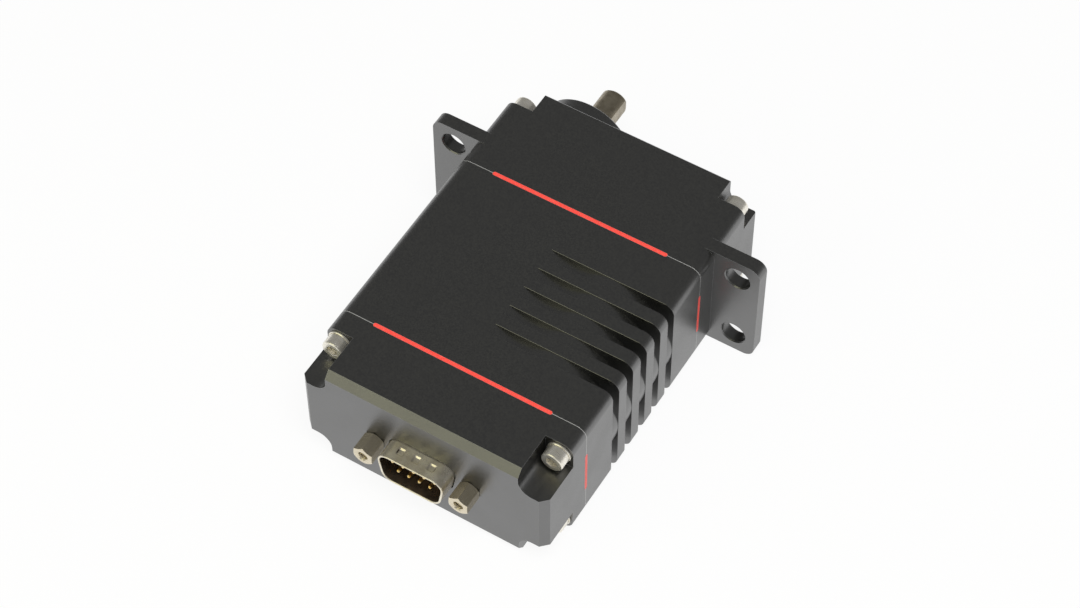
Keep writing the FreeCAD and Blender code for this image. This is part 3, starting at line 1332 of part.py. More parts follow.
def make_rotor():
    """Shaft, rotor core and the bonded ring of magnet segments."""
    shaft_start = plus(MOTOR_BEARING_REAR, size("motor_shaft_gap"))
    shaft = rod("motor_shaft", MOTOR_X, shaft_start, "0", size("motor_shaft_diameter"),
                "(" + FIRST_PINION_START + " - " + shaft_start + ")")
    core = ring("rotor_core", MOTOR_X, STATOR_START, "(" + ROTOR_RADIUS + " - Sizes.magnet_thickness)",
                half("motor_shaft_diameter"), size("stator_length"))
    outer = number(ROTOR_RADIUS)
    inner = outer - number(size("magnet_thickness"))
    start = number(STATOR_START)
    length = number(size("stator_length"))
    tube = round_bar(start, length, 2 * outer).cut(round_bar(start, length, 2 * inner))
    gap = number(half("magnet_gap"))
    overcut = number(size("overcut"))
    for i in range(ROTOR_POLES):
        middle = 2 * math.pi * i / ROTOR_POLES
        tube = tube.cut(sector(inner - overcut, outer + overcut, start - overcut, length + 2 * overcut, middle,
                               (gap / (inner - overcut), gap / (outer + overcut))))
    magnets = solid_feature("rotor_magnets", Part.makeCompound(tube.Solids), MOTOR_X)
    return [shaft, core, magnets]


def make_motor_bearings():
    pieces = []
    for place, start in (("rear", MOTOR_BEARING_REAR), ("front", FRONT_CAP_BACK)):
        pieces.append(bearing("motor_%s_bearing" % place, MOTOR_X, start, size("motor_bearing_width"),
                              size("motor_bearing_diameter"), size("motor_shaft_diameter"),
                              size("motor_race"), "(Sizes.shield / 2)"))
    outers = group("motor_bearing_outer_races", [pair[0] for pair in pieces])
    inners = group("motor_bearing_inner_races", [pair[1] for pair in pieces])
    return [outers, inners]


def make_motor_screws():
    screws = []
    for i, sign in enumerate(("1", "-1"), start=1):
        level = "(" + sign + " * Sizes.motor_screw_circle / 2)"
        shank = "(Sizes.partition + Sizes.motor_cap - Sizes.motor_screw_gap)"
        screws.append(headed_screw("motor_screw_%d" % i, MOTOR_X, level, FRONT_PARTING, True, shank,
                                   size("motor_screw_head"), size("motor_screw_head_height"),
                                   size("motor_screw_diameter"),
                                   (size("motor_socket_width"), size("motor_socket_depth"))))
    return group("motor_screws", screws)


# ---------------------------------------------------------------------------------------------------
# Boards and position sensor
# ---------------------------------------------------------------------------------------------------


def make_controller():
    left = "(" + LEFT + " + Sizes.wall - Sizes.board_groove + Sizes.groove_clearance)"
    width = "(" + BAY_RIGHT + " + Sizes.board_groove - Sizes.groove_clearance - " + left + ")"
    start = plus(REAR_PARTING, size("board_end_gap"))
    board = block("controller_board", left, start, size("board_level"), width,
                  "(" + CONTROLLER_FRONT + " - " + start + ")", size("board_thickness"))
    top = "(Sizes.board_level + Sizes.board_thickness)"
    first = plus(start, size("chip_margin"))
    chips = [block("processor_chip", size("chip_row_left"), first, top, size("processor_size"),
                   size("processor_size"), size("chip_height"))]
    beyond = plus(first, size("processor_size"), size("converter_gap"))
    chips.append(block("converter_chip", size("chip_row_left"), beyond, top, size("converter_width"),
                       size("converter_length"), size("chip_height")))
    for i in range(DRIVER_CHIPS):
        place = "(" + first + " + " + str(i) + " * Sizes.driver_pitch)"
        chips.append(block("driver_chip_%d" % (i + 1), size("chip_row_right"), place, top,
                           size("driver_width"), size("driver_length"), size("chip_height")))
    return [board, group("controller_chips", chips)]


def make_position_sensor():
    """Magnet in a cup on the shaft's rear end, and the board that reads it."""
    cup_outer = "(Sizes.magnet_diameter / 2 + Sizes.magnet_cup_wall)"
    magnet_radius = half("magnet_diameter")
    journal = half("rear_journal_diameter")
    profile = [("0", MAGNET_FRONT), (magnet_radius, MAGNET_FRONT), (magnet_radius, MAGNET_REAR),
               (cup_outer, MAGNET_REAR), (cup_outer, CUP_START), (journal, CUP_START),
               (journal, SHAFT_REAR), ("0", SHAFT_REAR)]
    cup = turned("magnet_cup", "0", "0", profile)
    magnet = rod("sensor_magnet", "0", MAGNET_REAR, "0", size("magnet_diameter"), size("magnet_length"))
    board_start = "(" + SENSOR_FACE + " - Sizes.board_thickness)"
    blank = block("sensor_board_blank", minus(half("sensor_board_width")), board_start,
                  minus(half("sensor_board_height")), size("sensor_board_width"), size("board_thickness"),
                  size("sensor_board_height"))
    holes = []
    screws = []
    for i, sign in enumerate(("-1", "1"), start=1):
        x = "(" + sign + " * Sizes.sensor_post_spacing / 2)"
        holes.append(rod("sensor_board_hole_%d" % i, x, board_start, "0", size("small_screw_diameter"),
                         size("board_thickness")))
        shank = "(Sizes.board_thickness + Sizes.post_screw_share * " + SENSOR_THREAD + ")"
        screws.append(headed_screw("sensor_board_screw_%d" % i, x, "0", board_start, False, shank,
                                   size("small_head_diameter"), size("small_head_height"),
                                   size("small_screw_diameter"),
                                   (size("small_socket_width"), size("small_socket_depth"))))
    board = cut("sensor_board", blank, holes)
    chip = block("sensor_chip", minus(half("sensor_chip_width")), SENSOR_FACE,
                 minus(half("sensor_chip_height")), size("sensor_chip_width"), size("chip_height"),
                 size("sensor_chip_height"))
    return [cup, magnet, board, chip, group("sensor_board_screws", screws)]


# ---------------------------------------------------------------------------------------------------
# Connector
# ---------------------------------------------------------------------------------------------------

FLANGE_FRONT = "(" + CONNECTOR_FACE + " + Sizes.panel)"
FLANGE_REAR = "(" + FLANGE_FRONT + " + Sizes.flange_thickness)"
INSULATOR_REAR = "(" + FLANGE_REAR + " + Sizes.insulator_depth)"
SHELL_RIM = "(" + CONNECTOR_FACE + " - Sizes.shell_protrusion)"


def jack_places():
    return ["(" + MIDDLE + " - Sizes.jack_spacing / 2)", "(" + MIDDLE + " + Sizes.jack_spacing / 2)"]


def make_connector_shell():
    """Plated flange behind the panel with the hollow trapezoid that stands out through it."""
    body = new_body("connector_shell_blank")
    depth = "(" + FLANGE_REAR + " - " + SHELL_RIM + ")"
    half_width = half("flange_width")
    half_height = half("flange_height")
    slab(body, "flange", FLANGE_FRONT, size("flange_thickness"),
         lambda sketch: add_box_outline(sketch, "(" + MIDDLE + " - " + half_width + ")",
                                        plus(MIDDLE, half_width), minus(half_height), half_height))
    trapezoid(body, "tube", FLANGE_REAR, depth, size("shell_thickness"), "Pad", backward=True)

    def draw_holes(sketch):
        for x in jack_places():
            add_circle(sketch, x, "0", size("jack_stud_diameter"))

    slab(body, "jack_holes", FLANGE_FRONT, size("flange_thickness"), draw_holes, "Pocket")
    hollow = new_body("connector_shell_hollow")
    trapezoid(hollow, "core", FLANGE_REAR, depth, "0", "Pad", backward=True)
    return cut("connector_shell", body, [hollow])


def contact_places():
    places = []
    for count, level in ((CONTACTS_LONG_ROW, 1), (CONTACTS_SHORT_ROW, -1)):
        for i in range(count):
            steps = i - (count - 1) / 2
            x = "(" + MIDDLE + " + (" + str(steps) + ") * Sizes.connector_pitch)"
            z = "((" + str(level) + ") * Sizes.connector_row / 2)"
            places.append((x, z))
    return places


def make_contacts(name, lead):
    """The nine contacts. The lead is the length of each one's tapered tip, or None for plain bars."""
    tip = "(" + SHELL_RIM + " + Sizes.contact_recess)"
    end = plus(INSULATOR_REAR, size("contact_tail"))
    pieces = []
    for i, (x, z) in enumerate(contact_places(), start=1):
        start = tip if lead is None else plus(tip, lead)
        bar = rod("%s_bar_%d" % (name, i), x, start, z, size("contact_diameter"),
                  "(" + end + " - " + start + ")")
        if lead is None:
            pieces.append(bar)
            continue
        point = cone("%s_point_%d" % (name, i), x, tip, z, "(Sizes.contact_diameter / 2)",
                     size("contact_diameter"), lead)
        pieces.append(fuse("%s_%d" % (name, i), [bar, point]))
    return pieces


def make_connector_inside():
    insulator_body = new_body("insulator_blank")
    trapezoid(insulator_body, "nose", FLANGE_FRONT, size("flange_thickness"), "0", "Pad")
    half_width = half("insulator_width")
    half_height = half("insulator_height")
    slab(insulator_body, "block", FLANGE_REAR, size("insulator_depth"),
         lambda sketch: add_box_outline(sketch, "(" + MIDDLE + " - " + half_width + ")",
                                        plus(MIDDLE, half_width), minus(half_height), half_height))
    insulator = cut("connector_insulator", insulator_body, make_contacts("contact_hole", None))
    contacts = group("connector_contacts", make_contacts("contact", size("contact_lead")))
    board_blank = block("interface_blank", "(" + MIDDLE + " - Sizes.interface_board_width / 2)",
                        INSULATOR_REAR, minus(half("interface_board_height")),
                        size("interface_board_width"), size("board_thickness"),
                        size("interface_board_height"))
    board = cut("interface_board", board_blank, make_contacts("board_hole", None))
    return [insulator, contacts, board]


def make_jackscrews():
    """Hexagonal standoffs outside the face, with studs through it into nuts behind the flange."""
    screws = []
    nuts = []
    for i, x in enumerate(jack_places(), start=1):
        start = "(" + CONNECTOR_FACE + " - Sizes.jack_length)"
        column = hexagon("jack_column_%d" % i, x, start, "0", size("jack_hex"), size("jack_length"))
        stud = rod("jack_stud_%d" % i, x, CONNECTOR_FACE, "0", size("jack_stud_diameter"),
                   size("jack_stud_length"))
        bore = rod("jack_bore_%d" % i, x, start, "0", size("jack_bore_diameter"), size("jack_bore_depth"))
        screws.append(cut("jackscrew_%d" % i, fuse("jack_solid_%d" % i, [column, stud]), [bore]))
        nuts.append(ring("clinch_nut_%d" % i, x, FLANGE_REAR, half("clinch_nut_diameter"),
                         half("jack_stud_diameter"), size("clinch_nut_length")))
    return [group("jackscrews", screws), group("clinch_nuts", nuts)]


# ---------------------------------------------------------------------------------------------------
# Assembly and export
# ---------------------------------------------------------------------------------------------------

nodes = [rear_gasket, front_gasket, make_rear_cover(), make_motor_housing(), make_gear_housing()]
nodes += make_housing_fasteners("rear_cover", REAR_PARTING,
                                plus(CONNECTOR_FACE, size("rear_pocket_depth")), False)
nodes += make_housing_fasteners("gear_housing", FRONT_PARTING,
                                "(" + END_FACE + " - Sizes.front_pocket_depth)", True)
nodes += [make_output_shaft(), make_seal(), make_bearing_clip(), make_idler_pin(), make_idler_ring()]
nodes += bearing("front_bearing", "0", BEARING_REAR, size("front_bearing_width"),
                 size("front_bearing_diameter"), size("front_journal_diameter"), size("bearing_race"),
                 size("shield"))
nodes += bearing("rear_bearing", "0", "(" + FRONT_PARTING + " - Sizes.rear_bearing_width)",
                 size("rear_bearing_width"), size("rear_bearing_diameter"), size("rear_journal_diameter"),
                 size("rear_race"), size("shield"))
nodes += make_gear_train()
nodes += [make_motor_can()] + make_motor_caps() + make_stator() + make_rotor() + make_motor_bearings()
nodes += [make_motor_screws()]
nodes += make_controller() + make_position_sensor()
nodes += [make_connector_shell()] + make_connector_inside() + make_jackscrews()
doc.recompute()

for thing in doc.Objects:
    if "Invalid" in thing.State or "Error" in thing.State:
        raise RuntimeError("%s failed: %s" % (thing.Label, thing.State))

os.makedirs("parts", exist_ok=True)
labels = set()
for node in nodes:
    shape = node.Shape
    if shape.isNull() or not shape.isValid() or not shape.Solids:
        raise RuntimeError("%s has no valid solid" % node.Label)
    if node.Label in labels:
        raise RuntimeError("two nodes are named %s" % node.Label)
    labels.add(node.Label)
    shape.exportStep(os.path.join("parts", node.Label + ".step"))
    print("%-28s %d solid(s)  %10.2f mm3" % (node.Label, len(shape.Solids), shape.Volume))
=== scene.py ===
"""Looks of a flat geared joint actuator: finishes for its pieces, and its visible small parts in detail."""

import json
import math

import bmesh
import bpy
from mathutils import Matrix, Vector


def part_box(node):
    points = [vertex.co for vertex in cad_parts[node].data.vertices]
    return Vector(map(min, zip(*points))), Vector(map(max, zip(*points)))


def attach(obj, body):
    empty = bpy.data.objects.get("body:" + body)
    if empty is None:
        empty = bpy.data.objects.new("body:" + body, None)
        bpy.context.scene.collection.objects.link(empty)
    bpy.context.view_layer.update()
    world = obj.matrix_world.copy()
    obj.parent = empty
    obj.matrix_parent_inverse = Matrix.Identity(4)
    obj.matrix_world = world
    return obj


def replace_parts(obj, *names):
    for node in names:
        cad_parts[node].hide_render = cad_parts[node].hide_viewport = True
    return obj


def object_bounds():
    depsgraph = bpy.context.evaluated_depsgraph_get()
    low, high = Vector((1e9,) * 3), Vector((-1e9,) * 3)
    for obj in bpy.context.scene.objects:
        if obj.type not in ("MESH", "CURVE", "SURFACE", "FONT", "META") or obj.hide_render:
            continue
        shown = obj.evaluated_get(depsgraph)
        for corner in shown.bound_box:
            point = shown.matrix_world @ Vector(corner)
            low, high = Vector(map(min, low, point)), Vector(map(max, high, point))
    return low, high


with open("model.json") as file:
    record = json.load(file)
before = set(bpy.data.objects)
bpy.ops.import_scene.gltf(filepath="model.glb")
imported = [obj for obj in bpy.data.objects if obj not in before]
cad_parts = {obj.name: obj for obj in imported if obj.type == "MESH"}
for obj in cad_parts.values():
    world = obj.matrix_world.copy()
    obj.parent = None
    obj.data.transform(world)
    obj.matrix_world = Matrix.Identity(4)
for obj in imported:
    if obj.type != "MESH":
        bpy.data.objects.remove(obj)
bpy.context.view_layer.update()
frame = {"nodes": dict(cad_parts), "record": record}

# Lengths are in millimetres, and MM turns them into the frame's metres.
MM = 0.001
NEAR = 0.01                        # a place this near to another counts as the same
MERGE_DISTANCE = 0.002
PARALLEL = 0.99                    # cosine from which a direction counts as along an axis
SQUARE = 0.1                       # cosine up to which a direction counts as square to an axis
CREASE = math.radians(5)           # turn from which an edge counts as one
SHARP = math.radians(60)
OVERRUN = 1.0                      # how far a cutting tool runs past the piece
ALONG_Y = Matrix.Rotation(math.radians(-90), 4, "X")      # turns a piece made along Z to lie along +Y


def box_centre(node, axis):
    """Middle of a node's box along x, y or z."""
    low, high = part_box(node)
    return (getattr(low, axis) + getattr(high, axis)) / 2


# --------------------------------------------------------------------------------------------------
# Materials
# --------------------------------------------------------------------------------------------------

SLOT_WIDTH = 2.7                   # cooling slots, round the motor
SLOT_PITCH = 6.05
SLOTS = 5
SLOT_RUN_OUT = 15.8                # motor axis to the slots' tips
FIRST_SLOT = 12.65                 # rear parting to the middle of the first slot
SLOT_FACET = 0.09                  # width of the broken edges along a slot
SLOT_FACET_LEAN = 1.1              # how far their normal leans into the slot, in lengths of the plain one
SLOT_MARGIN = 0.6                  # edges nearer than this to a slot get no painted highlight
WALL_NORMAL = 0.5                  # surfaces whose normal has more of Y than this are walls of a slot
EDGE_HIGHLIGHT_WIDTH = 0.11                   # width of the painted highlight line along the sections' edges
EDGE_HIGHLIGHT_STARTS = 0.985           # cosine of the turn at which that line starts to show
EDGE_HIGHLIGHT_IS_FULL = 0.85           # and of the turn at which it shows in full
PARTING_HIGHLIGHT_HALF_WIDTH = 0.07                # half the width of the painted highlight line where two sections meet
NOISE_DARK = 0.35                  # most values of a noise lie between these two
NOISE_LIGHT = 0.65
WAVE_REPEAT = 2 * math.pi / 20     # distance between the bands of a wave texture at a scale of 1
SHEET_SPACING = 0.9425             # turns of wire and sheets of steel are drawn this far apart
MIX_SHARE, MIX_FIRST, MIX_SECOND = 0, 6, 7                # inputs of a Mix node that blends colours


def linear(colour):
    """Linear RGBA of an sRGB hex colour."""
    parts = [int(colour[i:i + 2], 16) / 255 for i in (1, 3, 5)]
    return [p / 12.92 if p <= 0.04045 else ((p + 0.055) / 1.055) ** 2.4 for p in parts] + [1.0]


def add_node(tree, kind, inputs=None, **settings):
    """A node with its settings, and with values, sockets or other nodes' results on its inputs."""
    made = tree.nodes.new("ShaderNode" + kind)
    for name, value in settings.items():
        setattr(made, name, value)
    for socket, value in (inputs or {}).items():
        if isinstance(value, bpy.types.Node):
            value = next(output for output in value.outputs if output.enabled)
        if isinstance(value, bpy.types.NodeSocket):
            tree.links.new(value, made.inputs[socket])
        else:
            made.inputs[socket].default_value = value
    return made


def per_metre(grain_mm):
    """Scale of a noise whose grains are that many millimetres across."""
    return 1 / (grain_mm * MM)


def emptied_tree(owner):
    """The node tree of a material or the world, with nothing in it."""
    owner.use_nodes = True
    owner.node_tree.nodes.clear()
    return owner.node_tree


def new_material(name):
    """A material, its empty node tree and the place of each surface point."""
    material = bpy.data.materials.new(name)
    tree = emptied_tree(material)
    return material, tree, add_node(tree, "TexCoord").outputs["Object"]


def end_material(tree, inputs):
    """The material's shader, with those inputs, and its output."""
    add_node(tree, "OutputMaterial", {"Surface": add_node(tree, "BsdfPrincipled", inputs)})


def dress(tree, plain, tone, dark, light, marks=None, gloss=None, span=(NOISE_DARK, NOISE_LIGHT),
          depth_mm=0.0, strength=1.0):
    """Ends a material with plain shader values, a colour by its tone, and roughness and relief by its marks.

    The gloss is the roughness at both ends of the marks' span of values.
    """
    inputs = dict(plain)
    inputs["Base Color"] = add_node(
        tree, "Mix", {MIX_SHARE: tone, MIX_FIRST: linear(dark), MIX_SECOND: linear(light)}, data_type="RGBA")
    if gloss:
        inputs["Roughness"] = add_node(
            tree, "MapRange", {"Value": marks, "From Min": span[0], "From Max": span[1],
                               "To Min": gloss[0], "To Max": gloss[1]})
    if depth_mm:
        inputs["Normal"] = add_node(
            tree, "Bump", {"Height": marks, "Distance": depth_mm * MM, "Strength": strength})
    end_material(tree, inputs)


def painted_edge_highlights(tree):
    """How sharply the surface turns within the painted highlight line's width: 0 on a flat, 1 at a corner."""
    eased = add_node(tree, "Bevel", {"Radius": EDGE_HIGHLIGHT_WIDTH * MM}, samples=12)
    plain = add_node(tree, "NewGeometry").outputs["Normal"]
    cosine = add_node(tree, "VectorMath", {0: eased, 1: plain}, operation="DOT_PRODUCT")
    return add_node(tree, "MapRange",
                    {"Value": cosine, "From Min": EDGE_HIGHLIGHT_STARTS, "From Max": EDGE_HIGHLIGHT_IS_FULL})


def parting_highlight_lines(tree, place):
    """1 on the lines where two sections of the housing meet, where a highlight is painted, else 0."""
    along = add_node(tree, "SeparateXYZ", {"Vector": place}).outputs["Y"]
    found = 0.0
    for gasket in ("rear_gasket", "front_gasket"):
        here = add_node(tree, "Math", {0: along, 1: box_centre(gasket, "y"), 2: PARTING_HIGHLIGHT_HALF_WIDTH * MM},
                        operation="COMPARE")
        found = add_node(tree, "Math", {0: found, 1: here}, operation="MAXIMUM")
    return found


def broken_slot_edges(tree, place):
    """The surface normal with the cooling slots' broken edges, and 1 beside a slot or else 0.

    A deburring wheel leaves a facet along both edges of a slot, which leans into the slot.
    """
    tips = box_centre("motor_can", "x") - SLOT_RUN_OUT * MM
    first = box_centre("rear_gasket", "y") + FIRST_SLOT * MM
    parts = add_node(tree, "SeparateXYZ", {"Vector": place})
    behind = add_node(tree, "Math", {0: parts.outputs["Y"], 1: first}, operation="SUBTRACT")
    pitches = add_node(tree, "Math", {0: behind, 1: SLOT_PITCH * MM}, operation="DIVIDE")
    nearest = add_node(tree, "Math", {0: pitches}, operation="ROUND")
    nearest = add_node(tree, "Math", {0: nearest, 1: 0.0}, operation="MAXIMUM")
    nearest = add_node(tree, "Math", {0: nearest, 1: SLOTS - 1.0}, operation="MINIMUM")
    offset = add_node(tree, "Math", {0: pitches, 1: nearest}, operation="SUBTRACT")
    offset = add_node(tree, "Math", {0: offset, 1: SLOT_PITCH * MM}, operation="MULTIPLY")
    distance = add_node(tree, "Math", {0: offset}, operation="ABSOLUTE")

    middle = (SLOT_WIDTH + SLOT_FACET) / 2 * MM
    facet = add_node(tree, "Math", {0: distance, 1: middle, 2: SLOT_FACET / 2 * MM}, operation="COMPARE")
    past_tips = add_node(tree, "Math", {0: parts.outputs["X"], 1: tips}, operation="GREATER_THAN")
    plain = add_node(tree, "NewGeometry").outputs["Normal"]
    across = add_node(tree, "SeparateXYZ", {"Vector": plain}).outputs["Y"]
    across = add_node(tree, "Math", {0: across}, operation="ABSOLUTE")
    outside = add_node(tree, "Math", {0: across, 1: WALL_NORMAL}, operation="LESS_THAN")
    there = add_node(tree, "Math", {0: past_tips, 1: outside}, operation="MULTIPLY")
    there = add_node(tree, "Math", {0: there, 1: facet}, operation="MULTIPLY")
    inwards = add_node(tree, "Math", {0: offset}, operation="SIGN")
    inwards = add_node(tree, "Math", {0: inwards, 1: -SLOT_FACET_LEAN}, operation="MULTIPLY")
    lean = add_node(tree, "CombineXYZ",
                    {"Y": add_node(tree, "Math", {0: there, 1: inwards}, operation="MULTIPLY")})
    normal = add_node(tree, "VectorMath", {0: plain, 1: lean}, operation="ADD")
    normal = add_node(tree, "VectorMath", {0: normal}, operation="NORMALIZE")

    beside = add_node(tree, "Math", {0: distance, 1: (SLOT_WIDTH / 2 + SLOT_MARGIN) * MM},
                      operation="LESS_THAN")
    near_tips = add_node(tree, "Math", {0: parts.outputs["X"], 1: tips - SLOT_MARGIN * MM},
                         operation="GREATER_THAN")
    return normal, add_node(tree, "Math", {0: beside, 1: near_tips}, operation="MULTIPLY")


def anodised_aluminium():
    """Bead-blasted aluminium under a black dyed oxide film: satin, faintly grained, with a painted grey
    highlight along its edges.

    The blasting leaves pits of about 0.1 mm; they are drawn 0.35 mm wide, because finer ones don't show.
    A fine bright line is painted where two sections meet, as the highlight of their broken edges.
    """
    material, tree, place = new_material("black_anodised_aluminium")
    pits = add_node(tree, "TexNoise", {"Vector": place, "Scale": per_metre(0.35), "Detail": 3.0})
    cloud = add_node(tree, "TexNoise", {"Vector": place, "Scale": per_metre(9.0)})
    tone = add_node(tree, "MapRange", {"Value": pits, "From Min": NOISE_DARK, "From Max": NOISE_LIGHT})
    film = add_node(tree, "Mix", {MIX_SHARE: tone, MIX_FIRST: linear("#070706"),
                                  MIX_SECOND: linear("#1E1E1B")}, data_type="RGBA")
    normal, by_slot = broken_slot_edges(tree, place)
    # Painted grey highlight along the housing's edges, left off beside the slots.
    clear = add_node(tree, "Math", {0: 1.0, 1: by_slot}, operation="SUBTRACT")
    edge_highlight = add_node(tree, "Math", {0: painted_edge_highlights(tree), 1: clear}, operation="MULTIPLY")
    highlighted_film = add_node(tree, "Mix", {MIX_SHARE: edge_highlight, MIX_FIRST: film, MIX_SECOND: linear("#77787A")},
                     data_type="RGBA")
    # Painted highlight on the lines where two sections meet.
    colour = add_node(tree, "Mix", {MIX_SHARE: parting_highlight_lines(tree, place), MIX_FIRST: highlighted_film,
                                    MIX_SECOND: linear("#A8A8A6")}, data_type="RGBA")
    broad = add_node(tree, "MapRange", {"Value": cloud, "From Min": NOISE_DARK, "From Max": NOISE_LIGHT,
                                        "To Min": 0.31, "To Max": 0.35})
    fine = add_node(tree, "MapRange", {"Value": pits, "From Min": NOISE_DARK, "From Max": NOISE_LIGHT,
                                       "To Min": -0.03, "To Max": 0.05})
    satin = add_node(tree, "Math", {0: broad, 1: fine}, operation="ADD")
    relief = add_node(tree, "Bump",
                      {"Height": pits, "Distance": 0.014 * MM, "Strength": 1.0, "Normal": normal})
    end_material(tree, {"Base Color": colour, "Roughness": satin, "Normal": relief, "IOR": 2.45})
    return material


def silicone():
    """Moulded red silicone: saturated, slightly waxy, with a dull skin."""
    material, tree, place = new_material("red_silicone")
    skin = add_node(tree, "TexNoise", {"Vector": place, "Scale": per_metre(0.5)})
    plain = {"Roughness": 0.42, "IOR": 1.41, "Subsurface Weight": 0.15, "Subsurface Scale": 0.001}
    dress(tree, plain, skin, "#F8443B", "#FF665B", skin, depth_mm=0.01, strength=0.5)
    return material


def turned_steel(name, dark, light, gloss, metallic=1.0):
    """Metal turned on a lathe along Y: fine rings, and a tone that drifts a little over the piece.

    Below 1, metallic leaves a little of the dull grey skin that a passivated or blackened surface has.
    """
    material, tree, place = new_material(name)
    drawn_out = add_node(tree, "Mapping", {"Vector": place, "Scale": (0.15, 1.0, 0.15)})
    rings = add_node(tree, "TexNoise", {"Vector": drawn_out, "Scale": per_metre(0.25)})
    drift = add_node(tree, "TexNoise", {"Vector": place, "Scale": per_metre(2.5)})
    tone = add_node(tree, "MapRange", {"Value": drift, "From Min": NOISE_DARK, "From Max": NOISE_LIGHT})
    dress(tree, {"Metallic": metallic}, tone, dark, light, rings, gloss, depth_mm=0.004, strength=0.6)
    return material


def milled_nickel():
    """Nickel over milled bar: warm grey, with fine marks along Y."""
    material, tree, place = new_material("milled_nickel")
    drawn_out = add_node(tree, "Mapping", {"Vector": place, "Scale": (1.0, 0.1, 1.0)})
    marks = add_node(tree, "TexNoise", {"Vector": drawn_out, "Scale": per_metre(0.2)})
    tone = add_node(tree, "MapRange", {"Value": marks, "From Min": NOISE_DARK, "From Max": NOISE_LIGHT})
    dress(tree, {"Metallic": 0.9}, tone, "#D2C7AF", "#DFD5BE", marks, (0.20, 0.26), depth_mm=0.001,
          strength=0.1)
    return material


def nickel_plate(name, dark, light, gloss):
    """Dull nickel over steel: warm grey, with soft marks from drawing and a little of its grey skin."""
    material, tree, place = new_material(name)
    marks = add_node(tree, "TexNoise", {"Vector": place, "Scale": per_metre(1.2)})
    stain = add_node(tree, "TexNoise", {"Vector": place, "Scale": per_metre(3.0)})
    tone = add_node(tree, "MapRange", {"Value": stain, "From Min": NOISE_DARK, "From Max": NOISE_LIGHT})
    dress(tree, {"Metallic": 0.88}, tone, dark, light, marks, gloss, depth_mm=0.005, strength=0.2)
    return material


def gold_plate():
    """Thin hard gold on the contacts: yellow and bright."""
    material, tree, place = new_material("gold_plate")
    wear = add_node(tree, "TexNoise", {"Vector": place, "Scale": per_metre(0.8)})
    tone = add_node(tree, "MapRange", {"Value": wear, "From Min": NOISE_DARK, "From Max": NOISE_LIGHT})
    dress(tree, {"Metallic": 1.0}, tone, "#E8BE68", "#FFEFC0", wear, (0.24, 0.34))
    return material


def moulded_plastic(name, dark, light, roughness):
    """Glass-filled nylon or epoxy as moulded: matt with a slight orange peel."""
    material, tree, place = new_material(name)
    peel = add_node(tree, "TexNoise", {"Vector": place, "Scale": per_metre(0.4), "Detail": 3.0})
    dress(tree, {"IOR": 1.5}, peel, dark, light, peel, (roughness - 0.06, roughness + 0.06), depth_mm=0.01,
          strength=0.5)
    return material


def rubber():
    """Black nitrile rubber: dull, with a fine moulded skin."""
    material, tree, place = new_material("nitrile_rubber")
    skin = add_node(tree, "TexNoise", {"Vector": place, "Scale": per_metre(0.3)})
    dress(tree, {"IOR": 1.52}, skin, "#131313", "#202020", skin, (0.55, 0.75), depth_mm=0.01, strength=0.6)
    return material


def wound_copper():
    """Enamelled copper wire: turns side by side along X, drawn 0.94 mm apart."""
    material, tree, place = new_material("enamelled_copper")
    turns = add_node(tree, "TexWave",
                     {"Vector": place, "Scale": WAVE_REPEAT * per_metre(SHEET_SPACING), "Distortion": 0.4},
                     wave_type="BANDS", bands_direction="X").outputs["Fac"]
    dress(tree, {"Metallic": 0.8, "Roughness": 0.35}, turns, "#7A3413", "#C9703A", turns, depth_mm=0.1,
          strength=0.8)
    return material


def laminated_steel():
    """Stacked electrical steel: sheets that show as faint lines across Y, drawn 0.94 mm apart."""
    material, tree, place = new_material("laminated_steel")
    sheets = add_node(tree, "TexWave",
                      {"Vector": place, "Scale": WAVE_REPEAT * per_metre(SHEET_SPACING), "Distortion": 0.2},
                      wave_type="BANDS", bands_direction="Y").outputs["Fac"]
    dress(tree, {"Metallic": 1.0}, sheets, "#55575A", "#7C7E80", sheets, (0.35, 0.5), span=(0.0, 1.0))
    return material


def circuit_board():
    """Green solder mask over fine copper tracks."""
    material, tree, place = new_material("circuit_board")
    tracks = add_node(tree, "TexBrick",
                      {"Vector": place, "Scale": per_metre(3.0), "Mortar Size": 0.06,
                       "Color1": linear("#0C4A24"), "Color2": linear("#0F5A2C"), "Mortar": linear("#2B7C42")})
    end_material(tree, {"Base Color": tracks, "Roughness": 0.32, "IOR": 1.55})
    return material


FINISHES = {
    "black_anodised_aluminium": anodised_aluminium(),
    "red_silicone": silicone(),
    "stainless_steel": turned_steel("stainless_steel", "#E6E1D4", "#FAF6EC", (0.26, 0.36), 0.85),
    "hardened_steel": turned_steel("hardened_steel", "#8C8371", "#A89F8C", (0.30, 0.44), 0.88),
    "bearing_steel": turned_steel("bearing_steel", "#A8A8A8", "#C8C8C8", (0.12, 0.22)),
    "gear_steel": turned_steel("gear_steel", "#7D7A75", "#96928C", (0.28, 0.42)),
    "black_nitrile": rubber(),
    "electrical_steel": laminated_steel(),
    "enamelled_copper": wound_copper(),
    "nickelled_magnet": nickel_plate("nickelled_magnet", "#C9C4B8", "#E4E0D6", (0.22, 0.32)),
    "circuit_board": circuit_board(),
    "chip_epoxy": moulded_plastic("chip_epoxy", "#141414", "#1E1E1E", 0.5),
    "nickelled_steel": nickel_plate("nickelled_steel", "#DAD1BC", "#F0E9D8", (0.26, 0.36)),
    "connector_plastic": moulded_plastic("connector_plastic", "#4E3A30", "#7A5E50", 0.35),
    "gold_contacts": gold_plate(),
}
MILLED_NICKEL = milled_nickel()
# Darker nickel that paints the shade inside the connector shell.
SHADED_SHELL_INSIDE = nickel_plate("painted_shade_nickel_inside", "#5E5348", "#7E7264", (0.26, 0.36))


def finish_piece(piece, slot, finish=None):
    """Gives a new piece of the housing its finish, which is its slot's own unless another is named."""
    piece.data.materials.clear()
    piece.data.materials.append(finish or FINISHES[slot])
    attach(piece, "housing")
    return piece


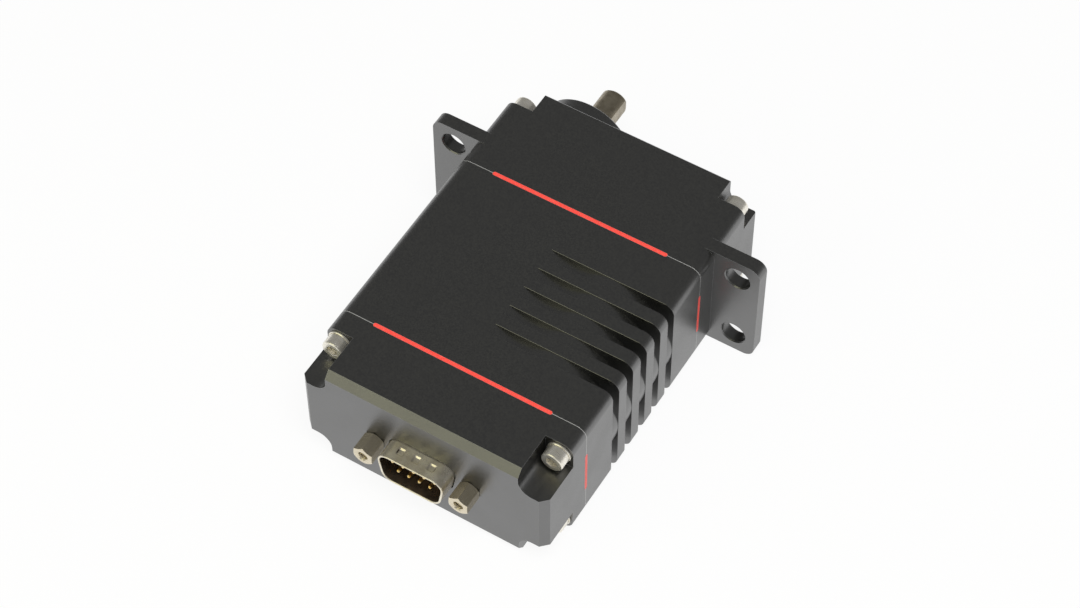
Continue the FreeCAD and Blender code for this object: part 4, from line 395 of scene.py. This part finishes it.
for part in frame["record"]["subparts"]:
    solid = frame["nodes"][part["node"]]
    solid.data.materials.clear()
    solid.data.materials.append(FINISHES[part["material_slot"]])


# --------------------------------------------------------------------------------------------------
# Modelling helpers
# --------------------------------------------------------------------------------------------------

def deselect_objects():
    """Leaves edit mode and selects nothing."""
    if bpy.context.mode != "OBJECT":
        bpy.ops.object.mode_set(mode="OBJECT")
    bpy.ops.object.select_all(action="DESELECT")


def choose(piece, *others):
    """Selects the pieces and nothing else, and makes the first of them active."""
    deselect_objects()
    for chosen in (piece, *others):
        chosen.select_set(True)
    bpy.context.view_layer.objects.active = piece


def edit(piece):
    """Opens the piece, and only that, in edit mode with nothing selected in it."""
    choose(piece)
    bpy.ops.object.mode_set(mode="EDIT")
    bpy.ops.mesh.select_all(action="DESELECT")


def pick(kind, test):
    """Selects the vertices, edges or faces of the opened piece that pass the test, and nothing else."""
    bpy.ops.mesh.select_mode(type={"verts": "VERT", "edges": "EDGE", "faces": "FACE"}[kind])
    bpy.ops.mesh.select_all(action="DESELECT")
    data = bpy.context.object.data
    mesh = bmesh.from_edit_mesh(data)
    mesh.normal_update()
    for element in getattr(mesh, kind):
        if test(element):
            element.select_set(True)
    mesh.select_flush_mode()
    bmesh.update_edit_mesh(data)


def close_edit(smooth_below=35):
    """Merges doubles, turns the faces outwards and shades the piece smooth below that angle."""
    piece = bpy.context.object
    bpy.ops.mesh.select_all(action="SELECT")
    bpy.ops.mesh.remove_doubles(threshold=MERGE_DISTANCE * MM)
    bpy.ops.mesh.normals_make_consistent(inside=False)
    bpy.ops.object.mode_set(mode="OBJECT")
    bpy.ops.object.shade_smooth_by_angle(angle=math.radians(smooth_below))
    return piece


def lathe(name, sides, profile):
    """A turned piece about Z, grown ring by ring through pairs of radius and height in millimetres."""
    deselect_objects()
    radius, height = profile[0]
    bpy.ops.mesh.primitive_circle_add(vertices=sides, radius=radius * MM, fill_type="NGON",
                                      location=(0, 0, height * MM))
    piece = bpy.context.object
    piece.name = name
    choose(piece)
    bpy.ops.object.transform_apply(location=True, rotation=True, scale=True)
    bpy.ops.object.mode_set(mode="EDIT")
    bpy.ops.mesh.select_all(action="SELECT")
    for next_radius, next_height in profile[1:]:
        bpy.ops.mesh.extrude_region_move(
            TRANSFORM_OT_translate={"value": (0, 0, (next_height - height) * MM)})
        bpy.ops.transform.resize(value=(next_radius / radius, next_radius / radius, 1))
        radius, height = next_radius, next_height
    return close_edit()


def block(name, low, high):
    """A box between two corners in millimetres."""
    deselect_objects()
    bpy.ops.mesh.primitive_cube_add(size=1)
    piece = bpy.context.object
    piece.name = name
    piece.scale = [(b - a) * MM for a, b in zip(low, high)]
    piece.location = [(a + b) / 2 * MM for a, b in zip(low, high)]
    bpy.ops.object.transform_apply(location=True, rotation=True, scale=True)
    return piece


def combine(piece, tool, operation):
    """Applies a boolean of the tool to the piece and deletes the tool."""
    choose(piece)
    bpy.ops.object.modifier_add(type="BOOLEAN")
    modifier = piece.modifiers[-1]
    modifier.operation = operation
    modifier.solver = "EXACT"
    modifier.object = tool
    bpy.ops.object.modifier_apply(modifier=modifier.name)
    bpy.data.objects.remove(tool)
    return piece


def settle(piece, matrix):
    """Puts the piece in its place with that place in its mesh."""
    choose(piece)
    piece.matrix_world = matrix
    bpy.ops.object.transform_apply(location=True, rotation=True, scale=True)
    return piece


def copies(pattern, names, matrices):
    """One copy of the pattern at each place, each with its own mesh. The pattern goes."""
    made = []
    for name, matrix in zip(names, matrices):
        copy = pattern.copy()
        copy.data = pattern.data.copy()
        copy.name = name
        bpy.context.scene.collection.objects.link(copy)
        made.append(settle(copy, matrix))
    bpy.data.objects.remove(pattern)
    return made


# --------------------------------------------------------------------------------------------------
# Cap screws and washers
# --------------------------------------------------------------------------------------------------

HEAD_RADIUS = 2.75
HEAD_HEIGHT = 3.0
HEAD_ROUNDING = 0.45
HEAD_CHAMFER = 0.1                 # under the head
KNURL_HEIGHT = 2.3
KNURL_DEPTH = 0.05
KNURLS = 36
SOCKET_WIDTH = 2.5
SOCKET_DEPTH = 1.4
SOCKET_CHAMFER = 0.12
SOCKET_POINT_SHARE = 0.35          # width of the drill point's end, as a share of the socket's
SOCKET_POINT_DEPTH = 0.35
STEM_RADIUS = 1.5
STEM_CHAMFER = 0.25
THREAD_PITCH = 0.5
THREAD_DEPTH = 0.22
THREAD_LENGTH = 8.0
WASHER_RADIUS = 3.0
WASHER_HOLE = 1.55
WASHER_THICKNESS = 0.5
WASHER_ROUNDING = 0.12
WASHER_SIDES = 48
ROUNDING_STEPS = 5


def thread_rings(start, end, crest, depth, pitch):
    """Pairs of radius and height that climb from start to end in ridges."""
    count = int(abs(end - start) / pitch)
    step = (end - start) / (2 * count)
    return [(crest - depth * (i % 2), start + i * step) for i in range(1, 2 * count + 1)]


def rounded_edge(radius, height, rounding, steps):
    """Pairs of radius and height round a top edge, at those of its steps."""
    turns = [math.pi / 2 * i / ROUNDING_STEPS for i in steps]
    return [(radius - rounding * (1 - math.cos(turn)), height - rounding * (1 - math.sin(turn)))
            for turn in turns]


def make_cap_screw(shank):
    """Socket cap screw about Z, its head standing on z = 0: knurled side, rounded top, threaded stem."""
    plain_end = THREAD_LENGTH - shank
    stem = [(STEM_RADIUS - STEM_CHAMFER, -shank), (STEM_RADIUS, STEM_CHAMFER - shank)]
    stem += thread_rings(STEM_CHAMFER - shank, plain_end, STEM_RADIUS, THREAD_DEPTH, THREAD_PITCH)
    stem += [(STEM_RADIUS, 0.0)]
    head = [(HEAD_RADIUS - HEAD_CHAMFER, 0.0), (HEAD_RADIUS, HEAD_CHAMFER), (HEAD_RADIUS, KNURL_HEIGHT)]
    head += rounded_edge(HEAD_RADIUS, HEAD_HEIGHT, HEAD_ROUNDING, range(1, ROUNDING_STEPS + 1))
    screw = lathe("cap_screw", 2 * KNURLS, stem + head)

    def in_groove(vertex):
        x, y, z = vertex.co / MM
        turn = math.atan2(y, x) / (math.pi / KNURLS)
        on_side = NEAR < z < KNURL_HEIGHT + NEAR and math.hypot(x, y) > HEAD_RADIUS - NEAR
        return on_side and round(turn) % 2 == 1

    edit(screw)
    pick("verts", in_groove)
    shrink = 1 - KNURL_DEPTH / HEAD_RADIUS
    bpy.ops.transform.resize(value=(shrink, shrink, 1))
    close_edit()
    corner = SOCKET_WIDTH / math.sqrt(3)
    bottom = HEAD_HEIGHT - SOCKET_DEPTH
    socket = [(corner * SOCKET_POINT_SHARE, bottom - SOCKET_POINT_DEPTH), (corner, bottom),
              (corner, HEAD_HEIGHT - SOCKET_CHAMFER),
              (corner + 2 * SOCKET_CHAMFER, HEAD_HEIGHT + SOCKET_CHAMFER)]
    combine(screw, lathe("socket_tool", 6, socket), "DIFFERENCE")
    edit(screw)
    return close_edit()


def make_washer():
    """Flat washer about Z on z = 0, its edges tumbled round."""
    face_radius = WASHER_RADIUS - WASHER_ROUNDING
    washer = lathe("washer", WASHER_SIDES, [(face_radius, 0.0), (WASHER_RADIUS, WASHER_ROUNDING),
                                            (WASHER_RADIUS, WASHER_THICKNESS - WASHER_ROUNDING),
                                            (face_radius, WASHER_THICKNESS)])
    edit(washer)
    pick("faces", lambda face: abs(face.normal.z) > PARALLEL)
    bpy.ops.mesh.inset(thickness=(face_radius - WASHER_HOLE) * MM, use_individual=True)
    bpy.ops.mesh.bridge_edge_loops()
    return close_edit()


def fit_housing_screws(label, forward):
    """Four cap screws and washers where the frame has them, heads towards +Y or -Y."""
    low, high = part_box(label + "_screws")
    sign = 1 if forward else -1
    turn = Matrix.Rotation(math.radians(-90 * sign), 4, "X")
    top = high.y if forward else low.y
    seat = top - sign * HEAD_HEIGHT * MM
    shank = (high.y - low.y) / MM - HEAD_HEIGHT
    reach = HEAD_RADIUS * MM
    places = [(x, z) for x in (low.x + reach, high.x - reach) for z in (low.z + reach, high.z - reach)]
    base = seat - sign * WASHER_THICKNESS * MM
    for pattern, kind, y in ((make_cap_screw(shank), "screw", seat), (make_washer(), "washer", base)):
        names = ["%s_%s_%d" % (label, kind, i) for i in range(1, len(places) + 1)]
        matrices = [Matrix.Translation((x, y, z)) @ turn for x, z in places]
        for piece in copies(pattern, names, matrices):
            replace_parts(finish_piece(piece, "stainless_steel"), "%s_%ss" % (label, kind))


# --------------------------------------------------------------------------------------------------
# Nine-pin connector
# --------------------------------------------------------------------------------------------------

JACK_HEX = 4.8
JACK_LENGTH = 5.2
JACK_CHAMFER = 0.5
JACK_STUD_RADIUS = 1.42
JACK_STUD_OVERLAP = 0.3            # reach of the stud into the hexagon
JACK_BORE_RADIUS = 1.2
JACK_BORE_DEPTH = 4.4
JACK_POINT_SHARE = 0.3             # radius of the drill point's end, as a share of the bore's
JACK_POINT_DEPTH = 0.5
JACK_THREAD_PITCH = 0.64
JACK_THREAD_DEPTH = 0.16
JACK_THREAD_END = 0.3              # mouth of the bore to the first ridge
JACK_SINK_DEPTH = 0.25             # countersink at the mouth
JACK_SINK_FLARE = 0.45
JACK_SINK_OVERRUN = 0.1
JACK_SIDES = 62                    # these three differ, so that no facets coincide in a boolean
JACK_BORE_SIDES = 38
JACK_STUD_SIDES = 34
JACK_SMOOTH = 25                   # degrees
JACK_SPACING = 24.99
STUD_HOLE_SIDES = 32
SHELL_WIDTH = 16.92                # inside, at the long side
SHELL_HEIGHT = 8.36                # inside
SHELL_CORNER = 2.4                 # inside
SHELL_CORNER_STEPS = 8
SHELL_SLANT = math.radians(10)
SHELL_WALL = 0.5
SHELL_RIM_ROUNDING = 0.24
SHELL_RIM_STEPS = 4
SHELL_SMOOTH = 30                  # degrees
SHELL_PROTRUSION = 5.1
PANEL = 1.0                        # housing wall in front of the connector's flange
FLANGE_THICKNESS = 1.0
FLANGE_CORNER = 1.2
FLANGE_CORNER_STEPS = 5
DIMPLE_SPACING = 4.0
DIMPLE_WIDTH = 1.9
DIMPLE_LENGTH = 2.0
DIMPLE_DEPTH = 0.4
DIMPLE_CORNER = 0.3                # rounding of the four slanted corners
DIMPLE_CORNER_STEPS = 4
DIMPLE_ROUNDING = 0.08             # rounding of the rim and the floor's outline
DIMPLE_ROUNDING_STEPS = 2
DIMPLE_SLOPE = 0.32                # width of the slanted walls, seen from above
DIMPLE_FROM_RIM = 1.9
CONTACT_RADIUS = 0.5
CONTACT_SIDES = 20
CONTACTS_LONG_ROW = 5
CONTACTS_SHORT_ROW = 4
CONTACT_PITCH = 2.77
CONTACT_ROW = 2.84


def make_jackscrew(shank):
    """Hexagonal standoff about Z: chamfered ends, a threaded bore from its top and a stud below.

    The tools run past the ends, because a boolean of surfaces in one plane can fail.
    """
    corner = JACK_HEX / math.sqrt(3)
    column = lathe("jackscrew", 6, [(corner, 0.0), (corner, JACK_LENGTH)])
    narrow, wide = corner - 2 * JACK_CHAMFER, corner + JACK_CHAMFER
    turned = [(narrow, -0.5 * JACK_CHAMFER), (wide, JACK_CHAMFER), (wide, JACK_LENGTH - JACK_CHAMFER),
              (narrow, JACK_LENGTH + 0.5 * JACK_CHAMFER)]
    combine(column, lathe("turned_tool", JACK_SIDES, turned), "INTERSECT")
    bottom = JACK_LENGTH - JACK_BORE_DEPTH
    bore = [(JACK_BORE_RADIUS * JACK_POINT_SHARE, bottom), (JACK_BORE_RADIUS, bottom + JACK_POINT_DEPTH)]
    bore += thread_rings(bottom + JACK_POINT_DEPTH, JACK_LENGTH - JACK_THREAD_END, JACK_BORE_RADIUS,
                         JACK_THREAD_DEPTH, JACK_THREAD_PITCH)
    bore += [(JACK_BORE_RADIUS, JACK_LENGTH - JACK_SINK_DEPTH),
             (JACK_BORE_RADIUS + JACK_SINK_FLARE, JACK_LENGTH + JACK_SINK_OVERRUN)]
    combine(column, lathe("bore_tool", JACK_BORE_SIDES, bore), "DIFFERENCE")
    stud = [(JACK_STUD_RADIUS - STEM_CHAMFER, -shank), (JACK_STUD_RADIUS, STEM_CHAMFER - shank),
            (JACK_STUD_RADIUS, JACK_STUD_OVERLAP)]
    combine(column, lathe("stud_tool", JACK_STUD_SIDES, stud), "UNION")
    edit(column)
    return close_edit(JACK_SMOOTH)


def runs_along_y(edge):
    """Whether the edge is parallel to Y."""
    return abs((edge.verts[0].co - edge.verts[1].co).normalized().y) > PARALLEL


def connector_block(name, grown, front, back):
    """A solid with the connector's trapezoid outline, grown outwards, between two places along Y."""
    slope = math.tan(SHELL_SLANT)
    lean = grown / math.cos(SHELL_SLANT)
    long_half = SHELL_WIDTH / 2 + grown * slope + lean
    short_half = SHELL_WIDTH / 2 - (SHELL_HEIGHT + grown) * slope + lean
    rise = SHELL_HEIGHT / 2 + grown
    piece = block(name, (-long_half, front, -rise), (long_half, back, rise))
    edit(piece)
    pick("faces", lambda face: face.normal.z < -PARALLEL)
    bpy.ops.transform.resize(value=(short_half / long_half, 1, 1))
    for side, corner in ((1, math.pi / 2 - SHELL_SLANT), (-1, math.pi / 2 + SHELL_SLANT)):
        pick("edges", lambda edge: runs_along_y(edge) and edge.verts[0].co.z * side > (rise - NEAR) * MM)
        reach = (SHELL_CORNER + grown) / math.tan(corner / 2)
        bpy.ops.mesh.bevel(offset=reach * MM, segments=SHELL_CORNER_STEPS, affect="EDGES")
    return close_edit()


def press_dimples():
    """Presses three dimples into the top of the opened shell, with slanted walls and round corners."""
    top = (SHELL_HEIGHT / 2 + SHELL_WALL) * MM
    near = NEAR * MM
    front, back = DIMPLE_FROM_RIM * MM, (DIMPLE_FROM_RIM + DIMPLE_LENGTH) * MM
    middles = [i * DIMPLE_SPACING * MM for i in (-1, 0, 1)]
    half = DIMPLE_WIDTH / 2 * MM

    def on_top(face):
        return face.normal.z > PARALLEL and face.calc_center_median().z > top - near

    def in_dimple(face):
        place = face.calc_center_median()
        return (on_top(face) and front < place.y < back
                and any(abs(place.x - middle) < half for middle in middles))

    def at_dimple(edge):
        return (edge.calc_face_angle(0) > CREASE
                and all(top - DIMPLE_DEPTH * MM - near < vertex.co.z < top + near for vertex in edge.verts)
                and all(front - near < vertex.co.y < back + near for vertex in edge.verts)
                and all(abs(vertex.co.x) < middles[-1] + half + near for vertex in edge.verts))

    def climbs(edge):
        return abs(edge.verts[0].co.z - edge.verts[1].co.z) > 0.5 * DIMPLE_DEPTH * MM

    for place in (front, back):
        pick("faces", on_top)
        bpy.ops.mesh.bisect(plane_co=(0, place, 0), plane_no=(0, 1, 0))
    for middle in middles:
        for place in (middle - half, middle + half):
            pick("faces", on_top)
            bpy.ops.mesh.bisect(plane_co=(place, 0, 0), plane_no=(1, 0, 0))
    pick("faces", in_dimple)
    bpy.ops.mesh.inset(thickness=DIMPLE_SLOPE * MM, use_individual=True)
    bpy.ops.transform.translate(value=(0, 0, -DIMPLE_DEPTH * MM))
    pick("edges", lambda edge: at_dimple(edge) and climbs(edge))
    bpy.ops.mesh.bevel(offset=DIMPLE_CORNER * MM, segments=DIMPLE_CORNER_STEPS, affect="EDGES",
                       clamp_overlap=True)
    pick("edges", lambda edge: at_dimple(edge) and not climbs(edge))
    bpy.ops.mesh.bevel(offset=DIMPLE_ROUNDING * MM, segments=DIMPLE_ROUNDING_STEPS, affect="EDGES",
                       clamp_overlap=True)


def make_flange(width, height):
    """The connector's flange, behind the panel: round corners, the shell's opening and two stud holes."""
    front = SHELL_PROTRUSION + PANEL
    back = front + FLANGE_THICKNESS
    flange = block("flange", (-width / 2, front, -height / 2), (width / 2, back, height / 2))
    edit(flange)
    pick("edges", runs_along_y)
    bpy.ops.mesh.bevel(offset=FLANGE_CORNER * MM, segments=FLANGE_CORNER_STEPS, affect="EDGES")
    close_edit()
    opening = connector_block("flange_opening", SHELL_WALL, front - OVERRUN, back + OVERRUN)
    combine(flange, opening, "DIFFERENCE")
    for side in (-1, 1):
        hole = lathe("stud_hole", STUD_HOLE_SIDES,
                     [(JACK_STUD_RADIUS, front - OVERRUN), (JACK_STUD_RADIUS, back + OVERRUN)])
        settle(hole, Matrix.Translation((side * JACK_SPACING / 2 * MM, 0, 0)) @ ALONG_Y)
        combine(flange, hole, "DIFFERENCE")
    return flange


def make_connector_shell(flange_width, flange_height):
    """Drawn shell, front towards -Y and its rim at y = 0: rolled rim, three pressed dimples and a flange."""
    depth = SHELL_PROTRUSION + PANEL + FLANGE_THICKNESS
    tube = connector_block("connector_shell_piece", SHELL_WALL, 0.0, depth)
    edit(tube)
    pick("faces", lambda face: abs(face.normal.y) > PARALLEL)
    bpy.ops.mesh.inset(thickness=SHELL_WALL * MM, use_individual=True)
    bpy.ops.mesh.bridge_edge_loops()
    pick("edges", lambda edge: all(abs(vertex.co.y) < NEAR * MM for vertex in edge.verts)
         and edge.calc_face_angle(0) > SHARP)
    bpy.ops.mesh.bevel(offset=SHELL_RIM_ROUNDING * MM, segments=SHELL_RIM_STEPS, affect="EDGES")
    press_dimples()
    close_edit(SHELL_SMOOTH)
    choose(tube, make_flange(flange_width, flange_height))
    bpy.ops.object.join()
    return tube


def make_contact(length):
    """Round pin about Z with a domed tip at z = 0, running down to its tail."""
    dome = rounded_edge(CONTACT_RADIUS, 0.0, CONTACT_RADIUS, range(ROUNDING_STEPS))
    return lathe("contact", CONTACT_SIDES, [(CONTACT_RADIUS, -length)] + dome)


def shade_shell_inside(shell, middle):
    """Gives the inner walls of the shell, which face its middle, a darker nickel that paints their shade."""
    shell.data.materials.append(SHADED_SHELL_INSIDE)
    rim = min(vertex.co.y for vertex in shell.data.vertices) + SHELL_RIM_ROUNDING * MM
    for face in shell.data.polygons:
        inwards = Vector((middle - face.center.x, 0, -face.center.z))
        if face.normal.dot(inwards) > 0 and abs(face.normal.y) < SQUARE and face.center.y > rim:
            face.material_index = 1


def fit_connector():
    """Shell, jackscrews and contacts where the frame has them."""
    middle = box_centre("rear_cover", "x")
    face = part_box("rear_cover")[0].y
    low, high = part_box("connector_shell")
    shell = make_connector_shell((high.x - low.x) / MM, (high.z - low.z) / MM)
    settle(shell, Matrix.Translation((middle, face - SHELL_PROTRUSION * MM, 0)))
    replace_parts(finish_piece(shell, "nickelled_steel"), "connector_shell")
    # Paints shade on the shell's inner walls with the darker nickel.
    shade_shell_inside(shell, middle)
    stud_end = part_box("jackscrews")[1].y
    turn = Matrix.Rotation(math.radians(90), 4, "X")
    places = [Matrix.Translation((middle + side * JACK_SPACING / 2 * MM, face, 0)) @ turn for side in (-1, 1)]
    jacks = copies(make_jackscrew((stud_end - face) / MM), ["jackscrew_left", "jackscrew_right"], places)
    for jack in jacks:
        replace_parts(finish_piece(jack, "nickelled_steel", MILLED_NICKEL), "jackscrews")
    low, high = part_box("connector_contacts")
    places = []
    for count, side in ((CONTACTS_LONG_ROW, 1), (CONTACTS_SHORT_ROW, -1)):
        for i in range(count):
            x = middle + (i - (count - 1) / 2) * CONTACT_PITCH * MM
            places.append(Matrix.Translation((x, low.y, side * CONTACT_ROW / 2 * MM)) @ turn)
    names = ["contact_%d" % i for i in range(1, len(places) + 1)]
    for contact in copies(make_contact((high.y - low.y) / MM), names, places):
        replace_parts(finish_piece(contact, "gold_contacts"), "connector_contacts")


fit_housing_screws("rear_cover", False)
fit_housing_screws("gear_housing", True)
fit_connector()


# --------------------------------------------------------------------------------------------------
# Stage, light and camera
# --------------------------------------------------------------------------------------------------

CAMERA_AIM = Vector((10.0, -43.0, 0.0)) * MM
CAMERA_DISTANCE = 683.4 * MM
CAMERA_AZIMUTH = math.radians(31.82)
CAMERA_ELEVATION = math.radians(53.32)
CAMERA_ROLL = math.radians(0.50)
CAMERA_SENSOR = 36.0
CAMERA_LENS = 98.19
CAMERA_SHIFT = (0.0079, -0.0275)
CAMERA_CLIP = (0.01, 20.0)         # metres
FLOOR_REACH = 4.0                  # metres
FLOOR_WHITENESS = 0.90             # share of plain white in the floor as it is seen directly
ROOM_LIGHT = 0.30                  # strength of the room's light near the horizon
CEILING_LIGHT = 0.16               # and above
ROOM_ENDS = 0.1                    # heights of a direction between which one fades into the other
CEILING_STARTS = 0.5


def direction(azimuth, elevation):
    """Unit vector from the actuator towards that azimuth, 0 at the connector's side, and elevation."""
    return Vector((math.sin(azimuth) * math.cos(elevation), -math.cos(azimuth) * math.cos(elevation),
                   math.sin(elevation)))


def make_camera():
    """A long lens, aimed at the actuator from above and to the right of its connector."""
    data = bpy.data.cameras.new("camera")
    data.sensor_width = CAMERA_SENSOR
    data.lens = CAMERA_LENS
    data.shift_x, data.shift_y = CAMERA_SHIFT
    data.clip_start, data.clip_end = CAMERA_CLIP
    camera = bpy.data.objects.new("camera", data)
    bpy.context.scene.collection.objects.link(camera)
    outward = direction(CAMERA_AZIMUTH, CAMERA_ELEVATION)
    turn = outward.to_track_quat("Z", "Y").to_matrix().to_4x4() @ Matrix.Rotation(-CAMERA_ROLL, 4, "Z")
    camera.matrix_world = Matrix.Translation(CAMERA_AIM + outward * CAMERA_DISTANCE) @ turn
    bpy.context.scene.camera = camera


def make_lamp(name, azimuth, elevation, distance, width, height, power, colour, mirrored=True):
    """A soft box aimed at the actuator, in metres and degrees, which glossy surfaces mirror or don't."""
    data = bpy.data.lights.new(name, "AREA")
    data.shape = "RECTANGLE"
    data.size = width
    data.size_y = height
    data.energy = power
    data.color = linear(colour)[:3]
    lamp = bpy.data.objects.new(name, data)
    bpy.context.scene.collection.objects.link(lamp)
    lamp.visible_glossy = mirrored
    outward = direction(math.radians(azimuth), math.radians(elevation))
    lamp.matrix_world = (Matrix.Translation(CAMERA_AIM + outward * distance)
                         @ outward.to_track_quat("Z", "Y").to_matrix().to_4x4())


def make_world():
    """Room light that fades from the horizon to a dim ceiling, and looks white where it is seen."""
    world = bpy.data.worlds.new("studio")
    bpy.context.scene.world = world
    tree = emptied_tree(world)
    towards = add_node(tree, "TexCoord").outputs["Generated"]
    level = add_node(tree, "SeparateXYZ", {"Vector": towards}).outputs["Z"]
    room = add_node(tree, "MapRange", {"Value": level, "From Min": ROOM_ENDS, "From Max": CEILING_STARTS,
                                       "To Min": ROOM_LIGHT, "To Max": CEILING_LIGHT})
    ray = add_node(tree, "LightPath")
    strength = add_node(tree, "Mix", {"Factor": ray.outputs["Is Camera Ray"], "A": room, "B": 1.0})
    sky = add_node(tree, "Background", {"Color": linear("#FFFFFF"), "Strength": strength})
    add_node(tree, "OutputWorld", {"Surface": sky})


def make_floor():
    """A white sweep that keeps the actuator's soft shadow.

    It is plain white where it is mirrored or seen through glass, and partly where it is seen directly.
    """
    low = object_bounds()[0].z
    deselect_objects()
    bpy.ops.mesh.primitive_plane_add(size=FLOOR_REACH, location=(CAMERA_AIM.x, CAMERA_AIM.y, low))
    floor = bpy.context.object
    floor.name = "floor"
    material = bpy.data.materials.new("white_sweep")
    tree = emptied_tree(material)
    ray = add_node(tree, "LightPath")
    white = add_node(tree, "Math", {0: ray.outputs["Is Camera Ray"], 1: FLOOR_WHITENESS},
                     operation="MULTIPLY")
    for bounced in ("Is Glossy Ray", "Is Transmission Ray"):
        white = add_node(tree, "Math", {0: white, 1: ray.outputs[bounced]}, operation="MAXIMUM")
    matt = add_node(tree, "BsdfDiffuse", {"Color": linear("#EDEDED")})
    glow = add_node(tree, "Emission", {"Color": linear("#FFFFFF"), "Strength": 1.0})
    mixed = add_node(tree, "MixShader", {0: white, 1: matt, 2: glow})
    add_node(tree, "OutputMaterial", {"Surface": mixed})
    floor.data.materials.append(material)


make_camera()
make_world()
make_floor()
make_lamp("front_box", azimuth=-24, elevation=33, distance=1.2, width=1.0, height=0.9, power=3.9,
          colour="#F2F0C8")
make_lamp("top_box", azimuth=45, elevation=66, distance=1.4, width=0.9, height=0.9, power=19,
          colour="#FFFFFF", mirrored=False)

bpy.context.scene.view_settings.view_transform = "Standard"
